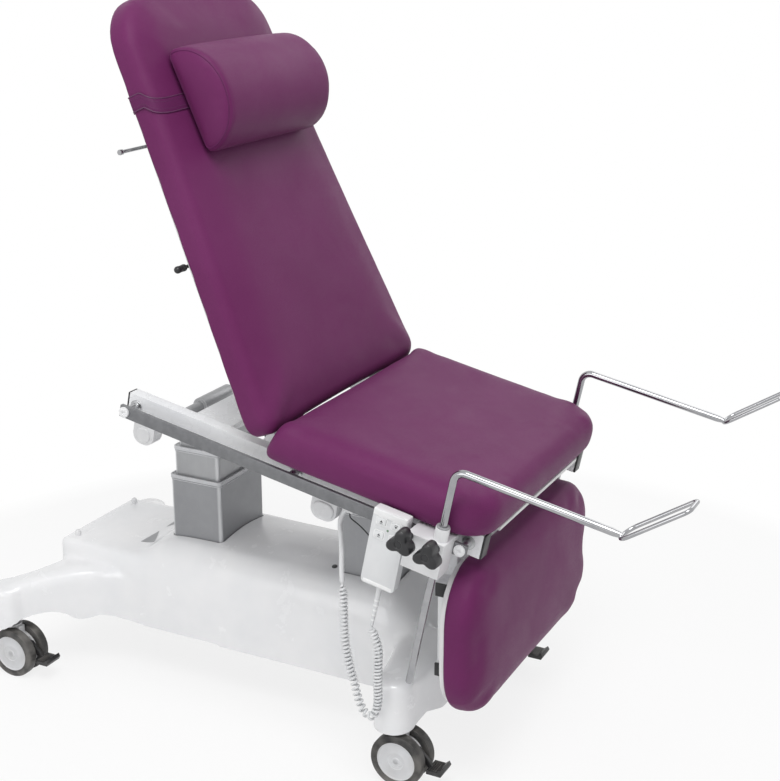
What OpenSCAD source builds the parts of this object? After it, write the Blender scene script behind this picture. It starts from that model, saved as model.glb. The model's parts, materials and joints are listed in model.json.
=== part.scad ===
// Electric gynaecological chair: a column lift on a castored base carries a tilting frame with
// seat, back and leg sections. Lengths are millimetres, +Y is the head end, +Z is up and the
// origin is the middle of the footprint on the floor.

/* [Frame] */
// Width over the outer faces of the side beams
frame_w = 580; // [560:1:610]
// Length of a side beam
frame_len = 890; // [880:1:930]
// Width of a side beam
beam_w = 30; // [26:1:34]
// Height of a side beam
beam_h = 54; // [50:1:58]
// Wall of the beams and other square tubes
tube_wall = 2.5; // [1.5:0.1:4]
// Height of the lower front corner of the beams above the floor
frame_z = 565.5; // [560:1:590]
// Tilt of the frame as shown, foot end down
tilt = 11.5; // [9:0.5:12]
// Thickness of the accessory rail
rail_t = 10; // [8:0.5:11]
// Height of the accessory rail
rail_h = 28; // [24:1:30]
// Distance from a beam to its rail
rail_gap = 35; // [33:0.5:38]
// Thickness of the seat board
board_t = 10; // [8:1:12]

/* [Lift columns] */
// Width of a column across the chair
column_w = 194; // [184:1:200]
// Depth of a column along the chair
column_d = 143; // [136:1:148]
// Wall of the column tubes
column_wall = 5; // [4:0.5:6]
// Distance between the two columns
column_span = 470; // [450:1:480]
// Height of the outer tubes above the floor
column_top = 525; // [500:1:530]
// Length of the inner and middle tubes
column_len = 380; // [360:1:390]
// How far the rear middle tube stands out of the outer one
rear_stage = 72; // [50:1:76]
// How far the front middle tube stands out of the outer one
front_stage = 30; // [20:1:34]
// Diameter of the shafts that carry the frame
shaft_d = 25; // [20:1:28]
// Depth of the shafts below the beams
shaft_drop = 35; // [33:1:38]

/* [Base] */
// Half width of the middle of the cover
body_half_w = 170; // [160:1:176]
// Height of the cover between the columns
cover_h = 382; // [370:1:390]
// Wall of the moulded cover
cover_wall = 4; // [3:0.5:5]
// Distance from the centre plane to a caster stem
stem_x = 295; // [285:1:305]
// Distance from the front column to the front caster stems
front_reach = 172; // [165:1:180]
// Distance from the rear column to the rear caster stems
rear_reach = 436; // [425:1:450]
// Radius of the round end of a leg
boss_r = 47; // [44:1:50]

/* [Casters] */
// Diameter of a wheel
wheel_d = 125; // [120:1:125]
// Width of one wheel of the pair
wheel_w = 26; // [22:1:28]
// Distance between the wheels of a pair
wheel_gap = 20; // [18:1:24]
// Distance of the axle behind the stem
caster_trail = 20; // [14:1:26]
// Diameter of the caster stem
stem_d = 18; // [14:1:20]

/* [Cushions] */
// Half width of the seat cushion
seat_half_w = 347; // [340:1:347]
// Thickness of the seat cushion
seat_t = 88; // [80:1:96]
// Overhang of the seat cushion past the front of the beams
seat_front = 20; // [14:1:21]
// Length of the seat cushion along its underside
seat_len = 528; // [515:1:530]
// Half width of the back cushion at its lower end
back_half_w = 353; // [340:1:360]
// Half width of the back cushion at its upper end
back_top_half_w = 282; // [270:1:295]
// Length of the back cushion
back_len = 960; // [940:1:990]
// Thickness of the back cushion
back_t = 73; // [66:1:78]
// Slope of the back against the frame as shown
back_angle = 54; // [50:0.5:54]
// Half width of the leg cushion
leg_half_w = 356; // [340:1:366]
// Length of the leg cushion
leg_len = 356; // [340:1:362]
// Thickness of the leg cushion
leg_t = 70; // [60:1:74]
// Half length of the pillow
pillow_half_w = 220; // [200:1:235]
// Height of the pillow along the back
pillow_h = 230; // [200:1:240]
// Depth of the pillow
pillow_t = 112; // [90:1:120]

/* [Stirrups] */
// Distance from the centre plane to a stirrup rod
rod_x = 366; // [365:0.5:370]
// Diameter of the stirrup rod
rod_d = 16; // [14:0.5:17]
// Diameter of the wire of the heel loop
wire_d = 9; // [7:0.5:10]
// Length of the rod below the frame
rod_below = 295; // [270:1:300]
// Height of the stirrup arm above the frame
arm_w = 209; // [200:1:230]
// Reach of the arm from its rod to the heel loop
arm_reach = 352; // [320:1:370]
// Length of the heel loop
loop_len = 158; // [140:1:170]
// Width of the heel loop
loop_w = 60; // [50:1:70]
// Slope of the heel loop against the arm
loop_angle = 44.5; // [35:0.5:50]
// Width of a clamp knob
knob_d = 60; // [50:1:62]

/* [Handset] */
// Width of the handset
handset_w = 78; // [70:1:80]
// Height of the handset
handset_h = 175; // [160:1:180]
// Thickness of the handset
handset_t = 25; // [20:1:27]
// Diameter of the handset cord
cord_d = 5.5; // [4.5:0.5:6]
// Outer diameter of the curls of the cord
coil_d = 19.5; // [18:0.5:21]
// Number of curls of the cord
cord_curls = 58; // [40:1:60]

/* [Hidden] */

// Running gap between faces that move past each other
gap = 0.3;
// Clearance round a pin in its bore
fit = 0.05;
// Overrun of a cut past the face that it opens
over = 1;
$fn = 48;

white = "whitesmoke";
steel = "silver";
grey = "darkgray";
black = "#202022";
leather = "#5e2f5c";

// Places of the frame: u runs along the beams from the foot end, w stands square to them
beam_x = frame_w / 2;
rail_x = beam_x + rail_gap;
rail_out_x = rail_x + rail_t;
rail_w = 13;
rail_u0 = 15;
rail_end_gap = 8;
rail_u1 = frame_len - rail_end_gap;
rear_axis_in = 48;
rear_axis_u = frame_len - rear_axis_in;
function frame_y(u, w) = u * cos(tilt) - w * sin(tilt);
function frame_height(u, w) = frame_z + u * sin(tilt) + w * cos(tilt);
rear_y = frame_y(rear_axis_u, -shaft_drop);
rear_axis_z = frame_height(rear_axis_u, -shaft_drop);
front_y = rear_y - column_span;
front_axis_u = (front_y - shaft_drop * sin(tilt)) / cos(tilt);
front_axis_z = frame_height(front_axis_u, -shaft_drop);
front_stem_y = front_y - front_reach;
rear_stem_y = rear_y + rear_reach;

// Hinge of the back, and places along it
back_hinge_u = 520;
back_hinge_w = 85;
back_s0 = 20;
back_z0 = -14;
back_board_t = 12;
back_tube = 20;
back_tube_z = back_z0 - back_board_t - back_tube;
back_tube_x = 200;

// Hinge of the leg section, and places on it
leg_hinge_u = 45;
leg_hinge_w = 40;
leg_p0 = 68;
leg_z0 = -15;
leg_board_t = 12;
leg_tube = 28;
leg_tube_z = leg_z0 - leg_board_t - leg_tube;

// Rest places of the stirrup and its tip, which set the footprint
rod_u = 63;
elbow_u = rod_u - arm_reach;
tip_u = elbow_u - loop_len * cos(loop_angle);
tip_w = arm_w + loop_len * sin(loop_angle);
foot_y = frame_y(tip_u, tip_w) - wire_d / 2;
head_y = rear_stem_y + boss_r;
centre_y = (foot_y + head_y) / 2;

module placed() translate([0, -centre_y, 0]) children();
module on_frame() placed() translate([0, 0, frame_z]) rotate([tilt, 0, 0]) children();
module on_back() on_frame() translate([0, back_hinge_u, back_hinge_w])
    rotate([back_angle, 0, 0]) children();
module on_leg() on_frame() translate([0, leg_hinge_u, leg_hinge_w])
    rotate([90 - tilt, 0, 0]) children();
module both_sides() {
    children();
    mirror([1, 0, 0]) children();
}
module x_rod(r, x0, x1) translate([x0, 0, 0]) rotate([0, 90, 0]) cylinder(r = r, h = x1 - x0);
module box(x0, x1, y0, y1, z0, z1) translate([x0, y0, z0]) cube([x1 - x0, y1 - y0, z1 - z0]);

// Closed solid through rings of equal count, counter-clockwise seen from its far end
module loft(rings) {
    n = len(rings[0]);
    m = len(rings);
    middle = [centre(rings[0]), centre(rings[m - 1])];
    points = concat([for (ring = rings) each ring], middle);
    sides = [for (i = [0 : m - 2], j = [0 : n - 1])
        let (a = i * n + j, b = i * n + (j + 1) % n) each [[a, b + n, b], [a, a + n, b + n]]];
    first = [for (j = [0 : n - 1]) [j, (j + 1) % n, m * n]];
    last = [for (j = [0 : n - 1]) [(m - 1) * n + (j + 1) % n, (m - 1) * n + j, m * n + 1]];
    polyhedron(points = points, faces = concat(sides, first, last));
}
function total(list, i = 0) = i == len(list) - 1 ? list[i] : list[i] + total(list, i + 1);
function centre(ring) = total(ring) / len(ring);
function unit(v) = v / norm(v);
// Smooth curve through the rows of a table, at a fractional row number
function curve(a, b, c, d, t) =
    (2 * b + (c - a) * t + (2 * a - 5 * b + 4 * c - d) * t * t + (3 * b - a - 3 * c + d) * t * t * t) / 2;
function row_at(rows, p) =
    let (n = len(rows) - 1, i = min(floor(p), n - 1))
    curve(rows[max(i - 1, 0)], rows[i], rows[i + 1], rows[min(i + 2, n)], p - i);

// Outline of a rectangle with round corners, about its middle
module round_rect(w, d, r) {
    square([w - 2 * r, d], center = true);
    square([w, d - 2 * r], center = true);
    for (x = [-1, 1], y = [-1, 1]) translate([x * (w / 2 - r), y * (d / 2 - r)]) circle(r);
}
module square_tube_x(half, u0, u1, w0, w1) difference() {
    box(-half, half, u0, u1, w0, w1);
    box(-half - over, half + over, u0 + tube_wall, u1 - tube_wall, w0 + tube_wall, w1 - tube_wall);
}

// Middle of the base cover, in rows from the head end to the foot end. Shares of its length,
// half width and height: place, half width, side, platform half width, platform, crown
spine_shares = [
    [1, 0.88, 0.686, 0.865, 0.812, 0.815],
    [0.986, 0.9, 0.69, 0.875, 0.825, 0.828],
    [0.896, 0.94, 0.7, 0.86, 0.83, 0.833],
    [0.805, 0.99, 0.7, 0.825, 0.838, 0.843],
    [0.769, 1, 0.686, 0.765, 0.864, 0.877],
    [0.719, 1, 0.654, 0.62, 0.948, 0.974],
    [0.606, 1, 0.64, 0.58, 0.969, 0.99],
    [0.497, 1, 0.628, 0.57, 0.963, 1],
    [0.352, 1, 0.628, 0.57, 0.958, 0.995],
    [0.18, 1, 0.628, 0.59, 0.948, 0.974],
    [0.139, 1, 0.615, 0.615, 0.903, 0.93],
    [0.08, 0.97, 0.563, 0.645, 0.76, 0.785],
    [0.034, 0.88, 0.5, 0.645, 0.615, 0.64],
    [0, 0.72, 0.44, 0.53, 0.51, 0.525]];
nose_reach = 78;
tail_gap = 53;
spine_y0 = front_stem_y - nose_reach;
spine_y1 = rear_stem_y - tail_gap;
cover_low = 136;
round_steps = 4;
function spine_ring(row, wall, low) =
    let (y = spine_y0 + wall + (spine_y1 - spine_y0 - 2 * wall) * row[0],
        half = body_half_w * row[1] - wall,
        side = cover_h * row[2] - wall,
        deck = body_half_w * row[3] - wall,
        edge = cover_h * row[4] - wall,
        crown = cover_h * row[5] - wall,
        right = concat([[half, low]],
            [for (k = [0 : round_steps]) let (a = 90 * k / round_steps)
                [deck + (half - deck) * cos(a), side + (edge - side) * sin(a)]],
            [for (k = [1, 2]) [deck * (1 - k / 3), edge + (crown - edge) * sin(30 * k)]]))
    concat([for (p = right) [p.x, y, p.y]], [[0, y, crown]],
        [for (i = [len(right) - 1 : -1 : 0]) [-right[i].x, y, right[i].y]]);
module spine(wall, low, samples) loft([for (i = [0 : samples * (len(spine_shares) - 1)])
    spine_ring(row_at(spine_shares, i / samples), wall, low)]);

// Legs of the base cover, from the middle part out to the caster. Shares of the stem's distance
// and of the leg's run and height: outer x and y, inner x and y, lower edge, top
front_leg_shares = [
    [0.37, -1.53, 0.37, 1.6, 0.356, 0.76],
    [0.59, -1.32, 0.59, 1.32, 0.335, 0.71],
    [0.8, -1.06, 0.8, 1.06, 0.382, 0.68],
    [1, -0.94, 1, 0.94, 0.353, 0.655]];
rear_leg_shares = [
    [0.56, -1, 0.2, -0.94, 0.356, 0.686],
    [0.583, -0.82, 0.2, -0.57, 0.393, 0.722],
    [0.644, -0.634, 0.254, -0.39, 0.393, 0.722],
    [0.786, -0.436, 0.39, -0.253, 0.372, 0.712],
    [0.922, -0.268, 0.56, -0.162, 0.432, 0.686],
    [1.034, -0.14, 0.729, -0.055, 0.419, 0.654],
    [1.13, -0.01, 0.88, 0.11, 0.346, 0.615]];
rear_leg_run = 328;
leg_round_share = 0.26;
leg_round = 26;
corner_steps = 3;
front_boss_share = 0.66;
rear_boss_share = 0.62;
boss_low = 132;
boss_round = 16;
function leg_ring(row, run, stem_y, wall, low) =
    let (a = [row[0] * stem_x, stem_y + row[1] * run],
        b = [row[2] * stem_x, stem_y + row[3] * run],
        inset = unit(b - a) * wall,
        p = a + inset,
        q = b - inset,
        foot = cover_h * row[4] - low,
        top = cover_h * row[5] - wall,
        profile = concat([[0, foot], [1, foot]],
            [for (k = [0 : corner_steps]) let (t = 90 * k / corner_steps)
                [1 - leg_round_share * (1 - cos(t)), top - leg_round * (1 - sin(t))]],
            [for (k = [0 : corner_steps]) let (t = 90 * k / corner_steps)
                [leg_round_share * (1 - sin(t)), top - leg_round * (1 - cos(t))]]))
    [for (s = profile) [p.x + (q.x - p.x) * s.x, p.y + (q.y - p.y) * s.x, s.y]];
module cover_leg(shares, run, stem_y, wall, low, samples)
    loft([for (i = [0 : samples * (len(shares) - 1)])
        leg_ring(row_at(shares, i / samples), run, stem_y, wall, low)]);
module boss(stem_y, top, wall, low) translate([stem_x, stem_y, 0]) rotate_extrude($fn = 36)
    polygon(concat([[0, boss_low - low], [boss_r - wall, boss_low - low]],
        [for (k = [0 : corner_steps]) let (a = 90 * k / corner_steps)
            [boss_r - wall - boss_round * (1 - cos(a)), top - wall - boss_round * (1 - sin(a))]],
        [[0, top - wall]]));
module cover_solid(wall, low, samples) {
    spine(wall, cover_low - low, samples);
    both_sides() {
        cover_leg(front_leg_shares, boss_r, front_stem_y, wall, low, samples);
        cover_leg(rear_leg_shares, rear_leg_run, rear_stem_y, wall, low, samples);
        boss(front_stem_y, cover_h * front_boss_share, wall, low);
        boss(rear_stem_y, cover_h * rear_boss_share, wall, low);
    }
}
cover_gap = 0.5;
column_r = 10;
module base_cover() color(white) placed() difference() {
    cover_solid(0, 0, 2);
    cover_solid(cover_wall, 4 * cover_wall, 1);
    for (y = [front_y, rear_y]) translate([0, y, 0]) linear_extrude(cover_h + over)
        round_rect(column_w + 2 * cover_gap, column_d + 2 * cover_gap, column_r);
}

// Steel chassis under the cover, with the sockets for the caster stems
chassis_x = 123;
chassis_t = 30;
chassis_low = 140;
chassis_h = 50;
foot_plate = 8;
column_low = chassis_low + foot_plate;
socket_r = 20;
stem_top = 180;
socket_roof = 12;
cross_t = 40;
cross_low = 152;
cross_h = 34;
bracket_w = 30;
bracket_t = 4;
housing_top = 131;
module socket(y) translate([stem_x, y, housing_top + gap]) difference() {
    cylinder(r = socket_r, h = stem_top + socket_roof - housing_top);
    translate([0, 0, -over]) cylinder(d = stem_d + 2 * fit, h = stem_top - housing_top + over);
}
rear_cross_x = chassis_x;
rear_cross_y = rear_stem_y - rear_leg_run / 2;
rear_cross_low = 176;
rear_cross_run = [stem_x - rear_cross_x, rear_stem_y - rear_cross_y];
module base_chassis() color(grey) placed() {
    both_sides() {
        box(chassis_x - chassis_t / 2, chassis_x + chassis_t / 2, front_stem_y - cross_t / 2,
            rear_cross_y + cross_t, chassis_low, chassis_low + chassis_h);
        socket(front_stem_y);
        socket(rear_stem_y);
        translate([rear_cross_x, rear_cross_y, rear_cross_low])
            rotate([0, 0, atan2(rear_cross_run.y, rear_cross_run.x)])
            box(0, norm(rear_cross_run) - socket_r + over, -cross_t / 2, cross_t / 2, 0, chassis_h / 2);
        for (y = [front_y, (front_y + rear_y) / 2, rear_y])
            box(chassis_x, body_half_w - cover_wall - gap, y - bracket_w / 2, y + bracket_w / 2,
                chassis_low, chassis_low + bracket_t);
    }
    for (y = [front_y, rear_y])
        box(-chassis_x, chassis_x, y - column_d / 2, y + column_d / 2, chassis_low, column_low);
    for (s = [-1, 1]) box(s > 0 ? 0 : socket_r - stem_x - over, s > 0 ? stem_x - socket_r + over : 0,
        front_stem_y - cross_t / 2, front_stem_y + cross_t / 2, cross_low, cross_low + cross_h);
}

// Casters: twin wheels on one axle, turning under a stem, with a brake pedal at the front
axle_r = 6;
axle_z = wheel_d / 2;
housing_half = wheel_gap / 2 - gap;
hub_r = 48;
pivot_y = -34;
pivot_z = 84;
pivot_r = 4;
arm_half = 4;
slot_half = arm_half + gap;
neck_half = 22;
head_r = 26;
head_t = 4;
module at_caster(sx, y) placed() translate([sx * stem_x, y, 0]) translate([0, -caster_trail, 0]) children();
module caster_housing(sx, y) color(white) at_caster(sx, y) difference() {
    union() {
        translate([0, 0, axle_z]) {
            x_rod(hub_r, -housing_half, housing_half);
            x_rod(axle_r, -wheel_gap / 2 - wheel_w + gap, wheel_gap / 2 + wheel_w - gap);
        }
        box(-housing_half, housing_half, -neck_half + caster_trail / 2, neck_half + caster_trail / 2,
            axle_z, housing_top - head_t);
        translate([0, caster_trail, housing_top - head_t]) cylinder(r = head_r, h = head_t);
        translate([0, caster_trail, housing_top - over]) cylinder(d = stem_d, h = stem_top - housing_top);
    }
    translate([0, pivot_y, pivot_z]) x_rod(pivot_r + fit, -housing_half - over, housing_half + over);
    pedal_slot();
}
// Room in the housing for the pedal arm over its travel
slot_back = 12;
slot_low = 26;
slot_high = 16;
module pedal_slot() box(-slot_half, slot_half, -hub_r - over, pivot_y + slot_back,
    pivot_z - slot_low, pivot_z + slot_high);
wheel_round = 5;
rim_r = 46;
rim_deep = 3;
module wheel() rotate([0, 90, 0]) rotate_extrude() difference() {
    union() {
        translate([axle_r + fit, 0]) square([axle_z - axle_r - fit - wheel_round, wheel_w]);
        translate([axle_r + fit, wheel_round])
            square([axle_z - axle_r - fit, wheel_w - 2 * wheel_round]);
        for (t = [wheel_round, wheel_w - wheel_round]) translate([axle_z - wheel_round, t]) circle(wheel_round);
    }
    translate([rim_r, wheel_w - rim_deep]) square([rim_deep, rim_deep + over]);
}
module caster_wheels(sx, y) color(black) at_caster(sx, y) translate([0, 0, axle_z]) both_sides()
    translate([wheel_gap / 2, 0, 0]) wheel();
// Brake pedal: an arm in the slot of the housing that widens past the tyres
pedal_half = 24;
pedal_in = 68;
pedal_out = 103;
pedal_low = 46;
pedal_t = 9;
pedal_lip = 8;
module brake_pedal(sx, y) color(black) at_caster(sx, y) {
    translate([0, pivot_y, pivot_z]) x_rod(pivot_r, -housing_half, housing_half);
    translate([-arm_half, 0, 0]) rotate([90, 0, 90]) linear_extrude(2 * arm_half)
        polygon([[pivot_y + 2 * pivot_r, pivot_z + pivot_r], [pivot_y + 2 * pivot_r, pivot_z - pivot_r],
            [pivot_y, pivot_z - 2 * pivot_r], [-pedal_in, pedal_low], [-pedal_in - pedal_t, pedal_low],
            [-pedal_in, pedal_low + 2 * pedal_t], [pivot_y - 2 * pivot_r, pivot_z + 2 * pivot_r],
            [pivot_y, pivot_z + 2 * pivot_r]]);
    translate([-pedal_half, 0, 0]) rotate([90, 0, 90]) linear_extrude(2 * pedal_half)
        polygon([[-pedal_in, pedal_low], [-pedal_in, pedal_low + pedal_t],
            [-pedal_out + pedal_t, pedal_low + pedal_t], [-pedal_out, pedal_low + pedal_t + pedal_lip],
            [-pedal_out - pedal_t / 2, pedal_low + pedal_t], [-pedal_out, pedal_low]]);
}

// Telescopic columns: each tube carries a collar that guides the next one
stage_step = 16;
collar_h = 12;
middle_w = column_w - stage_step;
middle_d = column_d - stage_step;
inner_w = middle_w - stage_step;
inner_d = middle_d - stage_step;
module column_tube(w, d, low, high) difference() {
    translate([0, 0, low]) linear_extrude(high - low) round_rect(w, d, column_r);
    translate([0, 0, low - over]) linear_extrude(high - low - collar_h + over)
        round_rect(w - 2 * column_wall, d - 2 * column_wall, column_r - column_wall);
    translate([0, 0, low]) linear_extrude(high - low + over)
        round_rect(w - stage_step + 2 * gap, d - stage_step + 2 * gap, column_r);
}

column_head_r = 20;
head_half = 62;
head_plate = 6;
shaft_half = beam_x - beam_w / 6;
head_rise = 19;
rear_middle_top = column_top + rear_stage;
front_middle_top = column_top + front_stage;
rear_inner_top = rear_axis_z - head_rise;
front_inner_top = front_axis_z - head_rise;
module column_inner(axis_z, top) {
    difference() {
        translate([0, 0, top - column_len]) linear_extrude(column_len)
            round_rect(inner_w, inner_d, column_r);
        translate([0, 0, top - column_len - over]) linear_extrude(column_len - head_plate + over)
            round_rect(inner_w - 2 * column_wall, inner_d - 2 * column_wall, column_r - column_wall);
    }
    box(-head_half, head_half, -column_head_r, column_head_r, top, axis_z);
    translate([0, 0, axis_z]) {
        x_rod(column_head_r, -head_half, head_half);
        x_rod(shaft_d / 2, -shaft_half, shaft_half);
    }
}
module at_column(y) placed() translate([0, y, 0]) children();
module rear_column_outer() color(grey) at_column(rear_y)
    column_tube(column_w, column_d, column_low, column_top);
module front_column_outer() color(grey) at_column(front_y)
    column_tube(column_w, column_d, column_low, column_top);
module rear_column_middle() color(grey) at_column(rear_y)
    column_tube(middle_w, middle_d, rear_middle_top - column_len, rear_middle_top);
module front_column_middle() color(grey) at_column(front_y)
    column_tube(middle_w, middle_d, front_middle_top - column_len, front_middle_top);
module rear_column_inner() color(steel) at_column(rear_y)
    column_inner(rear_axis_z, rear_inner_top);
module front_column_inner() color(steel) at_column(front_y)
    column_inner(front_axis_z, front_inner_top);

// Bearing blocks under the beams: a bore at the rear, a slot at the front that takes up the
// change of distance as the frame tilts
block_w = 34;
block_r = 24;
block_flange = 12;
block_pad = 34;
slot_front = 4;
slot_rear = 11;
slot_rise = 1.2;
module block_solid(u0, u1) {
    box(beam_x - block_w, beam_x, u0 - block_pad, u1 + block_pad, -block_flange, 0);
    box(beam_x - block_w, beam_x, u0 - block_r, u1 + block_r, -shaft_drop, 0);
    box(beam_x - block_w, beam_x, u0, u1, -shaft_drop - block_r, 0);
    for (u = [u0, u1]) translate([0, u, -shaft_drop]) x_rod(block_r, beam_x - block_w, beam_x);
}
module block_bore(u, r) translate([0, u, -shaft_drop])
    x_rod(r, beam_x - block_w - over, beam_x + over);
module bearing_blocks() color(white) on_frame() both_sides() {
    difference() {
        block_solid(rear_axis_u - slot_front, rear_axis_u + slot_front);
        block_bore(rear_axis_u, shaft_d / 2 + fit);
    }
    difference() {
        block_solid(front_axis_u - slot_front, front_axis_u + slot_rear);
        for (u = [front_axis_u - slot_front, front_axis_u + slot_rear])
            block_bore(u, shaft_d / 2 + slot_rise);
        box(beam_x - block_w - over, beam_x + over, front_axis_u - slot_front,
            front_axis_u + slot_rear, -shaft_drop - shaft_d / 2 - slot_rise,
            -shaft_drop + shaft_d / 2 + slot_rise);
    }
}

// Frame: side beams, rear tray, front cross tube, hinge brackets and gas spring bracket
inner_x = beam_x - beam_w;
tray_in = 245;
tray_run = 92;
tray_u0 = frame_len - tray_in;
tray_u1 = tray_u0 + tray_run;
tray_low = 30;
tray_top = 46;
tray_t = 3;
tray_hole_r = 12;
tray_hole_x = 90;
cross_u0 = 155;
cross_u1 = 185;
cross_w0 = 5;
cross_w1 = 35;
pin_r = 6;
bracket_plate = 8;
back_eye_r = 14;
back_foot_u0 = 515;
back_foot_u1 = 553;
back_foot_w = 12;
gas_x = -160;
gas_u = 170;
gas_w = -20;
gas_pin_r = 5;
gas_eye_r = 12;
gas_plate = 6;
gas_slot = 20;
module back_bracket() translate([inner_x - bracket_plate, 0, 0]) rotate([90, 0, 90])
    linear_extrude(bracket_plate) difference() {
        hull() {
            translate([back_hinge_u, back_hinge_w]) circle(back_eye_r);
            translate([back_foot_u0, back_foot_w]) square([back_foot_u1 - back_foot_u0, beam_h - back_foot_w]);
        }
        translate([back_hinge_u, back_hinge_w]) circle(pin_r + fit);
    }
module gas_clevis(u, w, top_w, eye_r) for (x = [gas_x - gas_slot / 2 - gas_plate, gas_x + gas_slot / 2])
    translate([x, 0, 0]) rotate([90, 0, 90]) linear_extrude(gas_plate) difference() {
        union() {
            translate([u, w]) circle(eye_r);
            translate([u - eye_r, w]) square([2 * eye_r, top_w - w]);
        }
        translate([u, w]) circle(gas_pin_r + fit);
    }
module main_frame() color(white) on_frame() {
    both_sides() difference() {
        box(inner_x, beam_x, 0, frame_len, 0, beam_h);
        box(inner_x + tube_wall, beam_x - tube_wall, -over, frame_len + over, tube_wall, beam_h - tube_wall);
        translate([0, leg_hinge_u, leg_hinge_w]) x_rod(pin_r + fit, inner_x - over, inner_x + tube_wall + over);
    }
    difference() {
        box(-inner_x, inner_x, tray_u0, tray_u1, tray_low, tray_top);
        box(-inner_x - over, inner_x + over, tray_u0 + tray_t, tray_u1 - tray_t, tray_low - over, tray_top - tray_t);
        for (x = [-tray_hole_x, tray_hole_x]) translate([x, (tray_u0 + tray_u1) / 2, tray_low])
            cylinder(r = tray_hole_r, h = tray_top - tray_low + over);
    }
    square_tube_x(inner_x, cross_u0, cross_u1, cross_w0, cross_w1);
    both_sides() back_bracket();
    gas_clevis(gas_u, gas_w, cross_w0, gas_eye_r);
}
cap_t = 5;
module beam_end_caps() color(black) on_frame() both_sides()
    for (u = [-cap_t, frame_len]) box(inner_x, beam_x, u, u + cap_t, 0, beam_h);

pin_head_r = 9;
pin_head = 4;
arm_out = inner_x - 4;
leg_arm_t = 24;
module hinge_pins() color(steel) on_frame() {
    both_sides() {
        translate([0, back_hinge_u, back_hinge_w]) {
            x_rod(pin_r, inner_x - bracket_plate - 15, inner_x);
            x_rod(pin_head_r, inner_x, inner_x + pin_head);
        }
        translate([0, leg_hinge_u, leg_hinge_w]) {
            x_rod(pin_r, arm_out - leg_arm_t - pin_head, inner_x + 2 * pin_head);
            x_rod(pin_head_r, arm_out + gap, inner_x);
        }
    }
    translate([0, gas_u, gas_w]) x_rod(gas_pin_r, gas_x - gas_slot / 2 - 2 * gas_plate,
        gas_x + gas_slot / 2 + 2 * gas_plate);
}

// Accessory rails on posts, with round covers over the end screws
post_r = 9;
post_flange_r = 15;
post_flange = 3;
post_w = 27;
post_end_u = 29;
rear_post_in = 21;
rear_post_u = frame_len - rear_post_in;
rail_cap_r = 12.5;
rail_cap_t = 5;
module side_rails() color("dimgray") on_frame() both_sides()
    box(rail_x, rail_out_x, rail_u0, rail_u1, rail_w, rail_w + rail_h);
module rail_fixings() color(steel) on_frame() both_sides() {
    for (u = [post_end_u, frame_len / 2, rear_post_u]) translate([0, u, post_w]) {
        x_rod(post_r, beam_x, rail_x);
        x_rod(post_flange_r, beam_x, beam_x + post_flange);
    }
    for (u = [post_end_u, rear_post_u]) translate([0, u, post_w]) x_rod(rail_cap_r, rail_out_x, rail_out_x + rail_cap_t);
}

// Seat board, with a tongue between the leg arms, and the control box under it
board_w = beam_h - board_t;
board_u0 = 62;
board_u1 = 450;
tongue_x = 226;
tongue_u = -10;
box_u0 = 195;
box_u1 = 290;
box_x0 = -60;
box_x1 = 160;
box_w = 6;
box_r = 10;
module seat_board() color(white) on_frame() {
    box(-inner_x, inner_x, board_u0, board_u1, board_w, beam_h);
    box(-tongue_x, tongue_x, tongue_u, board_u0, board_w, beam_h);
}
module control_box() color(white) on_frame()
    translate([(box_x0 + box_x1) / 2, (box_u0 + box_u1) / 2, box_w]) linear_extrude(board_w - box_w)
        round_rect(box_x1 - box_x0, box_u1 - box_u0, box_r);

// Outline of a cushion, tapering from its lower end to its upper end, counter-clockwise. The
// straight sides draw in between the corners by the given amount
long_steps = 5;
short_steps = 3;
arc_steps = 5;
least_r = 3;
function corner(x, y, r, a) = [for (k = [0 : arc_steps]) let (t = a + 90 * k / arc_steps)
    [x + r * cos(t), y + r * sin(t)]];
function side(p, q, steps, draw) =
    let (run = q - p, inward = unit([-run.y, run.x]))
    [for (k = [1 : steps]) let (t = k / (steps + 1)) p + run * t + inward * draw * sin(180 * t)];
function pad_outline(half0, half1, y0, y1, r0, r1, draw, inset) =
    let (a = max(r0 - inset, least_r), b = max(r1 - inset, least_r),
        h0 = half0 - inset, h1 = half1 - inset, low = y0 + inset, high = y1 - inset,
        c = [corner(-h0 + a, low + a, a, 180), corner(h0 - a, low + a, a, 270),
            corner(h1 - b, high - b, b, 0), corner(-h1 + b, high - b, b, 90)])
    [for (i = [0 : 3]) each concat(c[i],
        side(c[i][arc_steps], c[(i + 1) % 4][0], i % 2 == 0 ? short_steps : long_steps, draw))];
// Upholstered pad: rounded lower and upper edges and a crowned top, with a sloping far end
crown_near = 30;
crown_far = 95;
crown_near_share = 0.5;
crown_far_share = 0.9;
module pad(half0, half1, y0, y1, r0, r1, z0, z1, low_r, top_r, crown, draw, slope = 0) {
    levels = concat(
        [for (k = [0 : 2]) let (a = 45 * k) [low_r * (1 - sin(a)), z0 + low_r * (1 - cos(a))]],
        [for (k = [0 : 3]) let (a = 30 * k) [top_r * (1 - cos(a)), z1 - top_r * (1 - sin(a))]],
        [[top_r + crown_near, z1 + crown * crown_near_share],
            [top_r + crown_far, z1 + crown * crown_far_share]]);
    loft([for (level = levels) [for (p = pad_outline(half0, half1, y0,
        y1 - slope * (level.y - z0), r0, r1, draw, level.x)) [p.x, p.y, level.y]]]);
}

pad_crown = 8;
pad_draw = 3;
seat_r0 = 88;
seat_r1 = 30;
seat_low_r = 28;
seat_top_r = 40;
seat_slope_share = 0.4545;
seat_top = beam_h + seat_t;
module seat_cushion() color(leather) on_frame()
    pad(seat_half_w, seat_half_w, -seat_front, seat_len - seat_front, seat_r0, seat_r1,
        beam_h, seat_top, seat_low_r, seat_top_r, pad_crown, pad_draw, seat_slope_share);

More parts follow.
